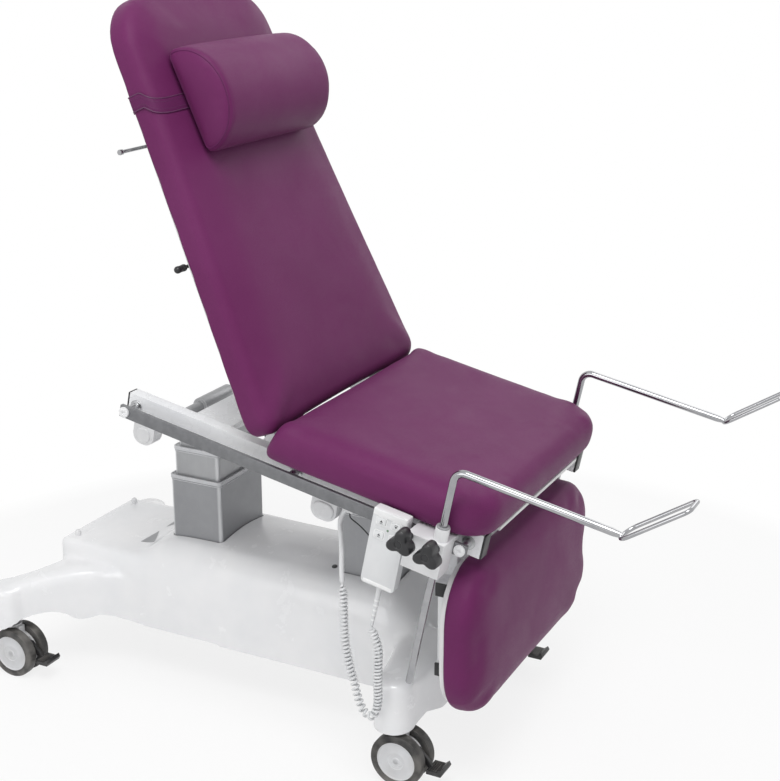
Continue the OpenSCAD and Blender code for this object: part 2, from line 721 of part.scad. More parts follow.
// Back section
back_r0 = 35;
back_r1 = 120;
back_low_r = 12;
back_top_r = 30;
back_z1 = back_z0 + back_t;
back_s1 = back_s0 + back_len;
back_inset = 25;
module back_cushion() color(leather) on_back()
    pad(back_half_w, back_top_half_w, back_s0, back_s1, back_r0, back_r1, back_z0, back_z1,
        back_low_r, back_top_r, pad_crown, pad_draw);
module back_board() color(white) on_back() translate([0, 0, back_z0 - back_board_t])
    linear_extrude(back_board_t) polygon(pad_outline(back_half_w, back_top_half_w,
        back_s0, back_s1, back_r0, back_r1, 0, back_inset));
tube_s1 = 700;
cross_s0 = 20;
cross_s1 = 40;
lug_x = 240;
lug_t = 10;
mid_s = 370;
lug_s = 30;
lug_z = -85;
rod_s = 675;
roll_r = 4;
roll_x = 323;
roll_tip = 12;
roll_tip_r = 6;
roll_lug = 10;
roll_z = back_tube_z - roll_lug + roll_r;
lever_s = 403;
lever_r = 4;
lever_knob_r = 8;
lever_x0 = 301;
lever_x1 = 323;
module back_frame() color(grey) on_back() {
    difference() {
        union() {
            both_sides() {
                box(back_tube_x - back_tube / 2, back_tube_x + back_tube / 2, cross_s0, tube_s1,
                    back_tube_z, back_tube_z + back_tube);
                box(back_tube_x - roll_lug / 2, back_tube_x + roll_lug / 2,
                    rod_s - roll_lug, rod_s + roll_lug, roll_z - roll_lug / 2 - roll_r, back_tube_z);
            }
            for (s = [cross_s0, mid_s, tube_s1 - back_tube])
                box(-back_tube_x, back_tube_x, s, s + back_tube, back_tube_z, back_tube_z + back_tube);
            box(-lug_x - lug_t, lug_x + lug_t, cross_s0, cross_s1, back_tube_z, back_tube_z + back_tube);
        }
        translate([0, rod_s, roll_z]) x_rod(roll_r + fit, -roll_x, roll_x);
        translate([0, lever_s, back_tube_z + back_tube / 2])
            x_rod(lever_r + fit, -back_tube_x - back_tube, -back_tube_x);
    }
    both_sides() translate([lug_x, 0, 0]) rotate([90, 0, 90]) linear_extrude(lug_t) difference() {
        union() {
            circle(back_eye_r);
            translate([-back_eye_r, back_tube_z]) square([2 * back_eye_r, -back_tube_z]);
            translate([-back_eye_r, back_tube_z]) square([cross_s1 + back_eye_r, back_tube]);
        }
        circle(pin_r + fit);
    }
    gas_clevis(lug_s, lug_z, back_tube_z + over, gas_eye_r);
    translate([0, lug_s, lug_z]) x_rod(gas_pin_r + fit, gas_x - gas_slot / 2 - gas_plate,
        gas_x + gas_slot / 2 + gas_plate);
}
module roll_rod() color(steel) on_back() translate([0, rod_s, roll_z]) {
    x_rod(roll_r, -roll_x, roll_x);
    both_sides() x_rod(roll_tip_r, roll_x, roll_x + roll_tip);
}
module release_lever() color(black) on_back() translate([0, lever_s, back_tube_z + back_tube / 2]) {
    x_rod(lever_r, -lever_x1, -back_tube_x - tube_wall);
    x_rod(lever_knob_r, -lever_x1, -lever_x0);
    for (x = [-lever_x1, -lever_x0]) translate([x, 0, 0]) sphere(lever_knob_r);
}

// Pillow with a flat back, and the strap that holds it round the back section
strap_s0 = 741;
strap_s1 = 775;
strap_t = 2;
strap_gap = 0.4;
strap_r = 30;
strap_low_r = 6;
strap_share = (strap_s0 - back_s0 - back_r0) / (back_len - back_r0 - back_r1);
strap_half = back_half_w - (back_half_w - back_top_half_w) * strap_share + strap_gap;
strap_low = back_z0 - back_board_t - gap;
strap_high = back_z1 + pad_crown + strap_gap;
pillow_z0 = strap_high + strap_t + gap;
pillow_s = 723;
pillow_r = 22;
pillow_shares = [[-1, 0.6], [-0.98, 0.84], [-0.95, 0.95], [-0.9, 0.99], [-0.5, 1], [0, 1],
    [0.5, 1], [0.9, 0.99], [0.95, 0.95], [0.98, 0.84], [1, 0.6]];
pillow_steps = 16;
function pillow_ring(row) =
    let (half = pillow_h / 2, mid = [pillow_s, pillow_z0 + pillow_t / 2],
        flat = concat(
            [for (k = [0 : 2]) let (a = 270 + 45 * k)
                [pillow_s + half - pillow_r + pillow_r * cos(a), pillow_z0 + pillow_r * (1 + sin(a))]],
            [for (k = [1 : pillow_steps - 1]) let (a = 180 * k / pillow_steps)
                [pillow_s + half * cos(a), pillow_z0 + pillow_r + (pillow_t - pillow_r) * sin(a)]],
            [for (k = [0 : 2]) let (a = 180 + 45 * k)
                [pillow_s - half + pillow_r + pillow_r * cos(a), pillow_z0 + pillow_r * (1 + sin(a))]]))
    [for (p = flat) let (q = mid + (p - mid) * row[1]) [pillow_half_w * row[0], q.x, q.y]];
module pillow() color(leather) on_back() loft([for (row = pillow_shares) pillow_ring(row)]);
module strap_outline(grow) hull() for (x = [-1, 1]) {
    translate([x * (strap_half - strap_r), strap_high - strap_r]) circle(strap_r + grow);
    translate([x * (strap_half - strap_low_r), strap_low + strap_low_r]) circle(strap_low_r + grow);
}
module pillow_strap() color(leather) on_back() translate([0, strap_s1, 0]) rotate([90, 0, 0])
    linear_extrude(strap_s1 - strap_s0) difference() {
        strap_outline(strap_t);
        strap_outline(0);
    }

// Leg section, drawn in its own plane: y runs up from the hinge and z forward
leg_r = 122;
leg_low_r = 12;
leg_top_r = 32;
leg_y0 = -leg_p0 - leg_len;
leg_board_inset = 14;
leg_cross_p = [130, 316];
leg_cross_h = 30;
leg_cross_x = 300;
leg_side_x0 = 262;
leg_side_x1 = 290;
arm_r = 12;
arm_knee = 40;
arm_back = 62;
arm_low = 146;
module leg_cushion() color(leather) on_leg()
    pad(leg_half_w, leg_half_w, leg_y0, -leg_p0, leg_r, leg_r, leg_z0, leg_z0 + leg_t,
        leg_low_r, leg_top_r, pad_crown, pad_draw);
module leg_board() color(white) on_leg() translate([0, 0, leg_z0 - leg_board_t])
    linear_extrude(leg_board_t) polygon(pad_outline(leg_half_w, leg_half_w, leg_y0, -leg_p0,
        leg_r, leg_r, 0, leg_board_inset));
module leg_frame() color(white) on_leg() {
    for (p = leg_cross_p) difference() {
        box(-leg_cross_x, leg_cross_x, -p - leg_cross_h / 2, -p + leg_cross_h / 2, leg_tube_z, leg_tube_z + leg_tube);
        box(leg_side_x1 - over, leg_cross_x + over, -p - leg_cross_h / 2 + tube_wall,
            -p + leg_cross_h / 2 - tube_wall, leg_tube_z + tube_wall, leg_tube_z + leg_tube - tube_wall);
    }
    both_sides() {
        box(leg_side_x0, leg_side_x1, -leg_cross_p[1] - leg_cross_h / 2,
            -leg_cross_p[0] + leg_cross_h / 2, leg_tube_z, leg_tube_z + leg_tube);
        translate([arm_out - leg_arm_t, 0, 0]) rotate([90, 0, 90]) linear_extrude(leg_arm_t) difference() {
            union() {
                circle(arm_r);
                polygon([[0, arm_r], [-arm_knee, -arm_r / 2], [-arm_back, leg_tube_z + leg_tube],
                    [-arm_low, leg_tube_z + leg_tube], [-arm_low, leg_tube_z],
                    [-arm_knee, leg_tube_z], [0, -arm_r]]);
            }
            circle(pin_r + fit);
        }
    }
}
leg_cap_t = 5;
module leg_tube_caps() color(black) on_leg() both_sides() for (p = leg_cross_p)
    box(leg_cross_x, leg_cross_x + leg_cap_t, -p - leg_cross_h / 2, -p + leg_cross_h / 2,
        leg_tube_z, leg_tube_z + leg_tube);

// Gas spring between the frame and the back; its far eye has play, as the linkage is opened there
function back_point(s, z) = [back_hinge_u + s * cos(back_angle) - z * sin(back_angle),
    back_hinge_w + s * sin(back_angle) + z * cos(back_angle)];
gas_run = back_point(lug_s, lug_z) - [gas_u, gas_w];
gas_len = norm(gas_run);
gas_angle = atan2(gas_run.y, gas_run.x);
gas_body_r = 10;
gas_body_len = 240;
gas_rod_in = 118;
gas_bore_in = 50;
gas_eye_t = gas_slot - 2;
gas_neck_r = 8;
loop_r = 17;
loop_bore_r = 12;
module on_gas() on_frame() translate([gas_x, gas_u, gas_w]) rotate([gas_angle, 0, 0]) children();
module y_rod(r, y0, y1) translate([0, y0, 0]) rotate([-90, 0, 0]) cylinder(r = r, h = y1 - y0);
module gas_spring_body() color(black) on_gas() difference() {
    union() {
        x_rod(gas_eye_r, -gas_eye_t / 2, gas_eye_t / 2);
        y_rod(gas_neck_r, 0, gas_eye_r + 2 * over);
        y_rod(gas_body_r, gas_eye_r + over, gas_body_len);
    }
    x_rod(gas_pin_r + fit, -gas_eye_t, gas_eye_t);
    y_rod(gas_pin_r + fit, gas_bore_in, gas_body_len + over);
}
module gas_spring_rod() color(steel) on_gas() difference() {
    union() {
        y_rod(gas_pin_r, gas_rod_in, gas_len - loop_bore_r - over);
        translate([0, gas_len, 0]) x_rod(loop_r, -gas_eye_t / 2, gas_eye_t / 2);
    }
    translate([0, gas_len, 0]) x_rod(loop_bore_r, -gas_eye_t, gas_eye_t);
}

// Clamps, bushes, knobs and stirrups, drawn for the left side and mirrored for the right
clamp_u0 = 44;
clamp_u1 = 128;
clamp_low = -26;
clamp_high = 52;
clamp_x1 = 388;
hook_t = 8;
hook_top_t = 10.4;
hook_low = 37;
hook_top = rail_w + rail_h + gap + hook_top_t;
lip_t = 7;
lip_x = 7;
sleeve_r = 15;
sleeve_high = 80;
bush_r = 11;
bush_flange_r = 14;
bush_flange = 3;
screw_r = 4;
rail_knob_u = 121;
rail_knob_w = 46.5;
rod_knob_u = 60;
rod_knob_w = 42;
knob_hub_r = 9;
knob_hub = 20;
knob_t = 34;
knob_layer = 5;
module side_of(s) mirror([s < 0 ? 1 : 0, 0, 0]) children();
module clamp_hook(u0, u1) {
    box(rail_x - gap - hook_t, rail_out_x + gap, u0, u1, hook_top - hook_top_t, hook_top);
    box(rail_x - gap - hook_t, rail_x - gap, u0, u1, hook_low, hook_top);
}
module rail_clamp(s) color(white) on_frame() side_of(s) difference() {
    union() {
        box(rail_out_x + gap, clamp_x1, clamp_u0, clamp_u1, clamp_low, clamp_high);
        clamp_hook(clamp_u0, clamp_u1);
        box(rail_out_x - lip_x, rail_out_x + over, clamp_u0, clamp_u1, rail_w - gap - lip_t, rail_w - gap);
        translate([rod_x, rod_u, clamp_low]) cylinder(r = sleeve_r, h = sleeve_high - clamp_low);
    }
    translate([rod_x, rod_u, clamp_low - over]) cylinder(r = bush_r + fit, h = sleeve_high - clamp_low + 2 * over);
    translate([0, rail_knob_u, rail_knob_w]) x_rod(screw_r + fit, rail_x - hook_t - over, clamp_x1 + over);
    translate([0, rod_knob_u, rod_knob_w]) x_rod(screw_r + fit, rod_x, clamp_x1 + over);
}
module clamp_bush(s) color(grey) on_frame() side_of(s) translate([rod_x, rod_u, 0]) difference() {
    union() {
        translate([0, 0, clamp_low]) cylinder(r = bush_r, h = sleeve_high - clamp_low + gap);
        translate([0, 0, sleeve_high + gap]) cylinder(r = bush_flange_r, h = bush_flange);
    }
    translate([0, 0, clamp_low - over]) cylinder(r = rod_d / 2 + fit, h = sleeve_high - clamp_low + bush_flange + 2 * over + gap);
}
lobe_r = 11;
lobe_at = knob_d / 2 - lobe_r;
module knob_outline(inset) {
    circle(lobe_at - inset);
    for (a = [90, 210, 330]) rotate(a) {
        translate([lobe_at, 0]) circle(lobe_r - inset);
        translate([0, inset - lobe_r * 3 / 4]) square([lobe_at, lobe_r * 3 / 2 - 2 * inset]);
    }
}
module knob(u, w, tip_x) color(black) translate([0, u, w]) {
    x_rod(screw_r, tip_x, clamp_x1 + knob_hub);
    x_rod(knob_hub_r, clamp_x1 + gap, clamp_x1 + knob_hub);
    translate([clamp_x1 + knob_hub, 0, 0]) rotate([90, 0, 90]) {
        linear_extrude(knob_t) knob_outline(knob_layer);
        translate([0, 0, knob_layer / 2]) linear_extrude(knob_t - knob_layer) knob_outline(knob_layer / 3);
        translate([0, 0, knob_layer]) linear_extrude(knob_t - 2 * knob_layer) knob_outline(0);
    }
}
module rail_knob(s) on_frame() side_of(s) knob(rail_knob_u, rail_knob_w, rail_x - hook_t);
module rod_knob(s) on_frame() side_of(s) knob(rod_knob_u, rod_knob_w, rod_x + bush_r + gap);

bend_r = 24;
arm_taper = 18;
arm_tip_r = 5.5;
loop_near_r = 26;
loop_far_r = 12;
module quarter(x, y, r, a, thick) translate([x, y, 0]) rotate([0, 0, a])
    rotate_extrude(angle = 90) translate([r, 0]) circle(d = thick);
module heel_loop() {
    near_x = loop_w / 2 - loop_near_r;
    far_x = loop_w / 2 - loop_far_r;
    quarter(near_x, loop_near_r, loop_near_r, 270, wire_d);
    quarter(-near_x, loop_near_r, loop_near_r, 180, wire_d);
    quarter(far_x, loop_len - loop_far_r, loop_far_r, 0, wire_d);
    quarter(-far_x, loop_len - loop_far_r, loop_far_r, 90, wire_d);
    x_rod(wire_d / 2, -near_x, near_x);
    translate([0, loop_len, 0]) x_rod(wire_d / 2, -far_x, far_x);
    for (x = [-1, 1]) translate([x * loop_w / 2, 0, 0]) y_rod(wire_d / 2, loop_near_r, loop_len - loop_far_r);
}
module stirrup(s) color(steel) on_frame() side_of(s) translate([rod_x, 0, 0]) {
    translate([0, rod_u, -rod_below]) cylinder(d = rod_d, h = rod_below + arm_w - bend_r);
    translate([0, rod_u - bend_r, arm_w - bend_r]) rotate([0, 90, 0]) quarter(0, 0, bend_r, 90, rod_d);
    translate([0, 0, arm_w]) y_rod(rod_d / 2, elbow_u + arm_taper, rod_u - bend_r);
    translate([0, elbow_u, arm_w]) rotate([-90, 0, 0]) cylinder(r1 = arm_tip_r, r2 = rod_d / 2, h = arm_taper);
    translate([0, elbow_u, arm_w]) rotate([180 - loop_angle, 0, 0]) heel_loop();
}

// Handset, hung on the rail by a hook, with four keys behind its face and a tapered cord relief
handset_x = 375;
handset_u = 175;
handset_top = 69;
handset_r = 9;
case_wall = 3;
hook_half_u = 22;
hook_w = -20;
relief_x = 362;
relief_u = 173;
relief_w = -205;
relief_r0 = 6.5;
relief_r1 = 3.5;
key_u = [192, 158];
key_w = [44, 13];
key_width = 20;
key_height = 15;
key_proud = 1.8;
key_brim = 2;
key_brim_t = 1.5;
key_r = 3;
handset_low = handset_top - handset_h;
module facing(x) translate([x, 0, 0]) rotate([90, 0, 90]) children();
module case_outline(inset) translate([handset_u, handset_top - handset_h / 2])
    round_rect(handset_w - 2 * inset, handset_h - 2 * inset, handset_r - inset);
module handset() color("gainsboro") on_frame() side_of(-1) {
    difference() {
        facing(handset_x - handset_t) linear_extrude(handset_t) case_outline(0);
        facing(handset_x - handset_t + case_wall) linear_extrude(handset_t - 2 * case_wall)
            case_outline(case_wall);
        for (u = key_u, w = key_w) facing(handset_x - case_wall - over)
            linear_extrude(case_wall + 2 * over) translate([u, w])
            round_rect(key_width + 2 * gap, key_height + 2 * gap, key_r + gap);
    }
    box(rail_out_x + gap, handset_x - handset_t, handset_u - hook_half_u, handset_u + hook_half_u,
        hook_w, hook_top);
    clamp_hook(handset_u - hook_half_u, handset_u + hook_half_u);
    translate([relief_x, relief_u, relief_w])
        cylinder(r1 = relief_r1, r2 = relief_r0, h = handset_low + case_wall - relief_w);
}
module key(i) color(black) on_frame() side_of(-1) translate([0, key_u[i % 2], key_w[floor(i / 2)]]) {
    facing(handset_x - case_wall - gap - key_brim_t) linear_extrude(case_wall + gap + key_brim_t + key_proud)
        round_rect(key_width, key_height, key_r);
    facing(handset_x - case_wall - gap - key_brim_t) linear_extrude(key_brim_t)
        round_rect(key_width + 2 * key_brim, key_height + 2 * key_brim, key_r);
}

// Gland and strain relief of the handset cord, and the clip of the seat cable, under the beam
gland_u0 = 296;
gland_u1 = 323;
gland_low = -18;
gland_w = 30;
gland_wall = 4;
clip_half = 8;
clip_low = -10;
sleeve_route = [[-280, 313, 618], [-280, 326, 592], [-281, 329, 573], [-285, 325, 545],
    [-292, 320, 512], [-300, 316, 478], [-305, 312, 452]];
gland_sleeve_r = 5.5;
cable_x = -287;
cable_r = 1.5;
cable_in = 6;
cable_route = [[cable_x, 304, gland_low + cable_in], [cable_x, 303, -24], [-290, 296, -28],
    [-293, 275, -33], [-296, 254, -41], [-297, 237, -50], [-297, 215, -51], [-296, 190, -46],
    [-292, 168, -30], [-288, 157, -16], [cable_x, 155, clip_low + cable_in]];
module tube_through(points, r, sides) loft([for (i = [0 : len(points) - 1])
    let (t = unit(points[min(i + 1, len(points) - 1)] - points[max(i - 1, 0)]),
        a = unit(cross(t, [1, 0, 0])), b = cross(t, a))
    [for (k = [0 : sides - 1]) points[i] + r * (a * cos(360 * k / sides) + b * sin(360 * k / sides))]]);
route_steps = 3;
function smooth(rows, steps) = [for (i = [0 : steps * (len(rows) - 1)]) row_at(rows, i / steps)];
module cord_gland() color(white) {
    on_frame() difference() {
        union() {
            box(-beam_x, gland_w - beam_x, gland_u0, gland_u1, gland_low, 0);
            box(-beam_x, gland_w - beam_x, key_u[1] - clip_half, key_u[1] + clip_half, clip_low, 0);
        }
        for (u = [cable_route[0].y, cable_route[len(cable_route) - 1].y])
            translate([cable_x, u, gland_low - over]) cylinder(r = cable_r + 8 * fit, h = cable_in - gland_low);
    }
    placed() tube_through(smooth(sleeve_route, route_steps), gland_sleeve_r, 12);
}
module seat_cable() color(black) on_frame() tube_through(smooth(cable_route, route_steps), cable_r, 8);

// Coiled cord from the strain relief down to its loop and up to the handset. The curls lie on a
// curve through the route, turned about the normal of the plane in which it hangs
cord_route = [[-305, 312, 452], [-317, 303, 417], [-335, 291, 342], [-350, 272, 287],
    [-358, 256, 253], [-364, 244, 222], [-369, 228, 196], [-372, 209, 188], [-373, 196, 202],
    [-373, 190, 232], [-372, 191, 270], [-370, 191, 317], [-366, 194, 353], [-363, 205, 380],
    [-relief_x, frame_y(relief_u, relief_w - over), frame_height(relief_u, relief_w - over)]];
cord_normal = unit([0.917, -0.398, 0]);
cord_steps = 12;
curl_rings = 8;
cord_sides = 6;
curl_ramp = 0.75;
curl_shares = [[0, 0], [0.4, 0.42], [0.5, 0.5], [0.64, 0.6], [1, 1]];
trace = smooth(cord_route, cord_steps);
trace_runs = [for (i = 0, s = 0; i < len(trace);
    s = s + (i < len(trace) - 1 ? norm(trace[i + 1] - trace[i]) : 0), i = i + 1) [s, i]];
trace_len = trace_runs[len(trace) - 1][0];
function trace_at(s) = let (f = lookup(s, trace_runs), i = min(floor(f), len(trace) - 2))
    trace[i] + (trace[i + 1] - trace[i]) * (f - i);
share_back = [for (p = curl_shares) [p[1], p[0]]];
cord_in = 1.2;
curl_n = cord_curls * curl_rings;
curl_r = (coil_d - cord_d) / 2;
cord_lead = cord_d + gap;
// Row i of the cord: point of the curl and its direction from the curve
function curl_row(i) =
    let (t = min(max(i, 0), curl_n),
        lead = i < 0 ? i * cord_in : i > curl_n ? (i - curl_n) * cord_in : 0,
        s = cord_lead + (trace_len - 2 * cord_lead) * lookup(t / curl_n, share_back) + lead,
        along = unit(trace_at(min(s + over, trace_len)) - trace_at(max(s - over, 0))),
        n = unit(cross(along, cord_normal)), b = cross(along, n),
        ramp = min(1, min(t, curl_n - t) / curl_rings / curl_ramp),
        a = 360 * t / curl_rings, out = n * cos(a) + b * sin(a))
    [trace_at(s) + out * curl_r * (1 - cos(180 * ramp)) / 2, out];
lead_rings = 4;
cord_rows = [for (i = [-lead_rings : curl_n + lead_rings]) curl_row(i)];
cord_n = len(cord_rows);
cord_rings = [for (i = [0 : cord_n - 1])
    let (t = unit(cord_rows[min(i + 1, cord_n - 1)][0] - cord_rows[max(i - 1, 0)][0]),
        out = cord_rows[i][1], a = unit(out - t * (out * t)), b = cross(t, a))
    [for (k = [0 : cord_sides - 1]) let (turn = 360 * k / cord_sides)
        cord_rows[i][0] + (a * cos(turn) + b * sin(turn)) * cord_d / 2]];
module handset_cord() {
    least = min([for (i = [0 : cord_n - 1], j = [i + curl_rings / 2 + 1 : min(i + 3 * curl_rings, cord_n - 1)])
        norm(cord_rows[i][0] - cord_rows[j][0])]) - cord_d;
    echo(least_gap = least, cord_len = total([for (i = [1 : cord_n - 1])
        norm(cord_rows[i][0] - cord_rows[i - 1][0])]), drop = trace_len);
    color("lightgray") placed() loft(cord_rings);
}

base_cover();
base_chassis();
caster_housing(-1, front_stem_y);  // caster_housing_fr
caster_housing(1, front_stem_y);  // caster_housing_fl
caster_housing(-1, rear_stem_y);  // caster_housing_rr
caster_housing(1, rear_stem_y);  // caster_housing_rl
caster_wheels(-1, front_stem_y);  // caster_wheels_fr
caster_wheels(1, front_stem_y);  // caster_wheels_fl
caster_wheels(-1, rear_stem_y);  // caster_wheels_rr
caster_wheels(1, rear_stem_y);  // caster_wheels_rl
brake_pedal(-1, front_stem_y);  // brake_pedal_fr
brake_pedal(1, front_stem_y);  // brake_pedal_fl
brake_pedal(-1, rear_stem_y);  // brake_pedal_rr
brake_pedal(1, rear_stem_y);  // brake_pedal_rl
rear_column_outer();
rear_column_middle();
rear_column_inner();
front_column_outer();
front_column_middle();
front_column_inner();
main_frame();
beam_end_caps();
bearing_blocks();
side_rails();
rail_fixings();
hinge_pins();
seat_board();
seat_cushion();
control_box();
cord_gland();
seat_cable();
back_frame();
back_board();
back_cushion();
pillow();
pillow_strap();
roll_rod();
release_lever();
leg_frame();
leg_tube_caps();
leg_board();
leg_cushion();
gas_spring_body();
gas_spring_rod();
rail_clamp(-1);  // rail_clamp_r
rail_clamp(1);  // rail_clamp_l
clamp_bush(-1);  // clamp_bush_r
clamp_bush(1);  // clamp_bush_l
stirrup(-1);  // stirrup_r
stirrup(1);  // stirrup_l
rail_knob(-1);  // rail_knob_r
rail_knob(1);  // rail_knob_l
rod_knob(-1);  // rod_knob_r
rod_knob(1);  // rod_knob_l
handset();
key(0);  // key_1
key(1);  // key_2
key(2);  // key_3
key(3);  // key_4
handset_cord();
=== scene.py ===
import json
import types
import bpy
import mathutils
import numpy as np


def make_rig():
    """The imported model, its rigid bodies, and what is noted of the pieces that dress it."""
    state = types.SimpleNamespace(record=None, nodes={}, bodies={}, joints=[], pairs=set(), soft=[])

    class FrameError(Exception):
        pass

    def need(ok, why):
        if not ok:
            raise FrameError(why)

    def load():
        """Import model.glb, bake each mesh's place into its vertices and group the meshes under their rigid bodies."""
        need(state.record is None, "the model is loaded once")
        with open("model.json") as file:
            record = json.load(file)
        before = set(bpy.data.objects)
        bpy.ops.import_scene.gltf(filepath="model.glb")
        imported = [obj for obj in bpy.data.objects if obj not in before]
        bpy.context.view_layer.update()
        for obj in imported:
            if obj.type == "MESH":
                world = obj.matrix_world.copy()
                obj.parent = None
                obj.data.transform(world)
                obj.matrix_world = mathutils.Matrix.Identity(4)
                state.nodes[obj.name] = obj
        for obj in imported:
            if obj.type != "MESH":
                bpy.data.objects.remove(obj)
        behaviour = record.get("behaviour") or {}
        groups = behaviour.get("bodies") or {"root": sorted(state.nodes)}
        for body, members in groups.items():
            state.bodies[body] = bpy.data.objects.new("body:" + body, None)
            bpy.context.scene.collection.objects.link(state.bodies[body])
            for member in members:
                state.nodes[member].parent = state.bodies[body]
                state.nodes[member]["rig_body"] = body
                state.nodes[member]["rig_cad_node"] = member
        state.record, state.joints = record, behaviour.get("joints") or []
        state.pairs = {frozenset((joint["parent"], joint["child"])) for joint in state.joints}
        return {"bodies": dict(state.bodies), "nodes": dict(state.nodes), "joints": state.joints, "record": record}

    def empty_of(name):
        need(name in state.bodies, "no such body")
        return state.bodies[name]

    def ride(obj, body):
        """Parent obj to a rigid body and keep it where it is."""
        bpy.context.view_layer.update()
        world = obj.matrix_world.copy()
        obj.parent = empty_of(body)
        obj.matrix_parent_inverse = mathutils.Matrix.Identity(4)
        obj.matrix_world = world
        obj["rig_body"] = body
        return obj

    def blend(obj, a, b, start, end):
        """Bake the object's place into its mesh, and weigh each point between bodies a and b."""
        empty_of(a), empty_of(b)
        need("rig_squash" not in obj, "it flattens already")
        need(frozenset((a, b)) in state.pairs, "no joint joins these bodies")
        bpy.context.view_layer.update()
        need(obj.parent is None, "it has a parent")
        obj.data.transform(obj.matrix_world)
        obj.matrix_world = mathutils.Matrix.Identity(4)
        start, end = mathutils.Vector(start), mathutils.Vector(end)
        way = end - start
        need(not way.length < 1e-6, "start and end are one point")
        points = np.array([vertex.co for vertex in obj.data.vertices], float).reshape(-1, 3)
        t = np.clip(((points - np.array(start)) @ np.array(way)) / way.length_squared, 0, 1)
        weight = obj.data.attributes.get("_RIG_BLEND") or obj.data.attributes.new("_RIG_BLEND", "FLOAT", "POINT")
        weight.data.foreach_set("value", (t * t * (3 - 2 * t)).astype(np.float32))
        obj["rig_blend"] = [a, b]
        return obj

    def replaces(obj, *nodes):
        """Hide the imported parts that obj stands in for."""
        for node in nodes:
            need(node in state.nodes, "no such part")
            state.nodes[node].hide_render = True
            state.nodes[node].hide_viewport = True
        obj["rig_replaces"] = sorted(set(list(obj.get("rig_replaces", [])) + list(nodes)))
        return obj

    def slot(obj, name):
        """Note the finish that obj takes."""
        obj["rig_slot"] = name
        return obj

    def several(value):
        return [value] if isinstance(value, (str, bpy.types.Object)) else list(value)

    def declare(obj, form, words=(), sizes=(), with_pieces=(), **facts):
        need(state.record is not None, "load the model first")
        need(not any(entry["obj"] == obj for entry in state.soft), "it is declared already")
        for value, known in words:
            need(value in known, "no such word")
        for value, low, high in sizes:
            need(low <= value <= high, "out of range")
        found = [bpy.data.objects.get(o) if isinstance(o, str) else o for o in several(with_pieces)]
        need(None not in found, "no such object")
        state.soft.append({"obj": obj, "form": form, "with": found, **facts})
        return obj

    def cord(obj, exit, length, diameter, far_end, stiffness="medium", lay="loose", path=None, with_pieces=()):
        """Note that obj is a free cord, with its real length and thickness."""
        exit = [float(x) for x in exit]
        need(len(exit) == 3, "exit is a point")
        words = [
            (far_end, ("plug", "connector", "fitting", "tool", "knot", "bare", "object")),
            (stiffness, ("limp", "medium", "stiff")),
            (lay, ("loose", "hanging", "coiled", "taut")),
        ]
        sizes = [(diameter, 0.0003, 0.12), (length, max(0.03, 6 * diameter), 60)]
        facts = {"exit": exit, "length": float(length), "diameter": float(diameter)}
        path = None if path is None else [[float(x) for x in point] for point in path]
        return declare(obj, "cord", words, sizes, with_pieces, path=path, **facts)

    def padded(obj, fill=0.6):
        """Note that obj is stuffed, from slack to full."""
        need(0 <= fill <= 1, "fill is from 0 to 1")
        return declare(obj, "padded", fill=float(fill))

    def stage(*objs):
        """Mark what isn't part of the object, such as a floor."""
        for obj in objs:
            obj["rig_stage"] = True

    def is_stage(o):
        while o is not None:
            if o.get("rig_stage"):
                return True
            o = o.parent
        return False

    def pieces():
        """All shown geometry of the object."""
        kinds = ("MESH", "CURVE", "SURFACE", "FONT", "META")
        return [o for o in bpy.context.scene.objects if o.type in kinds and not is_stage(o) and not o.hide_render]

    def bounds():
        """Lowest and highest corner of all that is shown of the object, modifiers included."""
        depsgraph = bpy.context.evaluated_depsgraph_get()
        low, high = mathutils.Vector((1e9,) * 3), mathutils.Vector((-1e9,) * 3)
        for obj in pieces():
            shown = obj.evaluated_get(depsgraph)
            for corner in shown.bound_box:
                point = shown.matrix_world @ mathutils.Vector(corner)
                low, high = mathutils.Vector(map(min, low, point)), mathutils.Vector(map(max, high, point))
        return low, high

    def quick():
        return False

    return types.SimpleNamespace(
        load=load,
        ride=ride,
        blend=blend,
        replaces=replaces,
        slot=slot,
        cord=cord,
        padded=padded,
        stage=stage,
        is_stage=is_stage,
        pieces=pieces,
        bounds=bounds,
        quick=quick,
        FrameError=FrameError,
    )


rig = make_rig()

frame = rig.load()

import json
import math

import bmesh
import bpy
import numpy as np
from mathutils import Matrix, Vector
from mathutils.bvhtree import BVHTree

CAD_BOUNDS = [list(corner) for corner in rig.bounds()]
NODES = frame["nodes"]
SLOTS = {part["node"]: part["material_slot"] for part in frame["record"]["subparts"]}
BODIES = {node: body for body, nodes in frame["record"]["behaviour"]["bodies"].items() for node in nodes}

# Sizes in millimetres, the same as those of the solids
MM = 0.001
CENTRE_Y = 426.599
FRAME_Z = 565.5
TILT = math.radians(11.5)
BACK_ANGLE = math.radians(54)
LEG_ANGLE = math.radians(78.5)
BACK_HINGE = (520, 85)
LEG_HINGE = (45, 40)
FRONT_STEM_Y = 190.07
REAR_STEM_Y = 1268.07
STEM_X = 295
FRONT_COLUMN_Y = 362.07
REAR_COLUMN_Y = 832.07
SIDES = {"r": -1, "l": 1}


# Places: from the floor frame, the tilted frame, the back and the leg section to metres
def on_floor(p):
    return Vector((p[0], p[1] - CENTRE_Y, p[2])) * MM


def on_frame(p):
    x, u, w = p
    return on_floor((x, u * math.cos(TILT) - w * math.sin(TILT),
                     FRAME_Z + u * math.sin(TILT) + w * math.cos(TILT)))


def swung(p, hinge, angle):
    x, s, z = p
    return on_frame((x, hinge[0] + s * math.cos(angle) - z * math.sin(angle),
                     hinge[1] + s * math.sin(angle) + z * math.cos(angle)))


def on_back(p):
    return swung(p, BACK_HINGE, BACK_ANGLE)


def on_leg(p):
    return swung(p, LEG_HINGE, LEG_ANGLE)


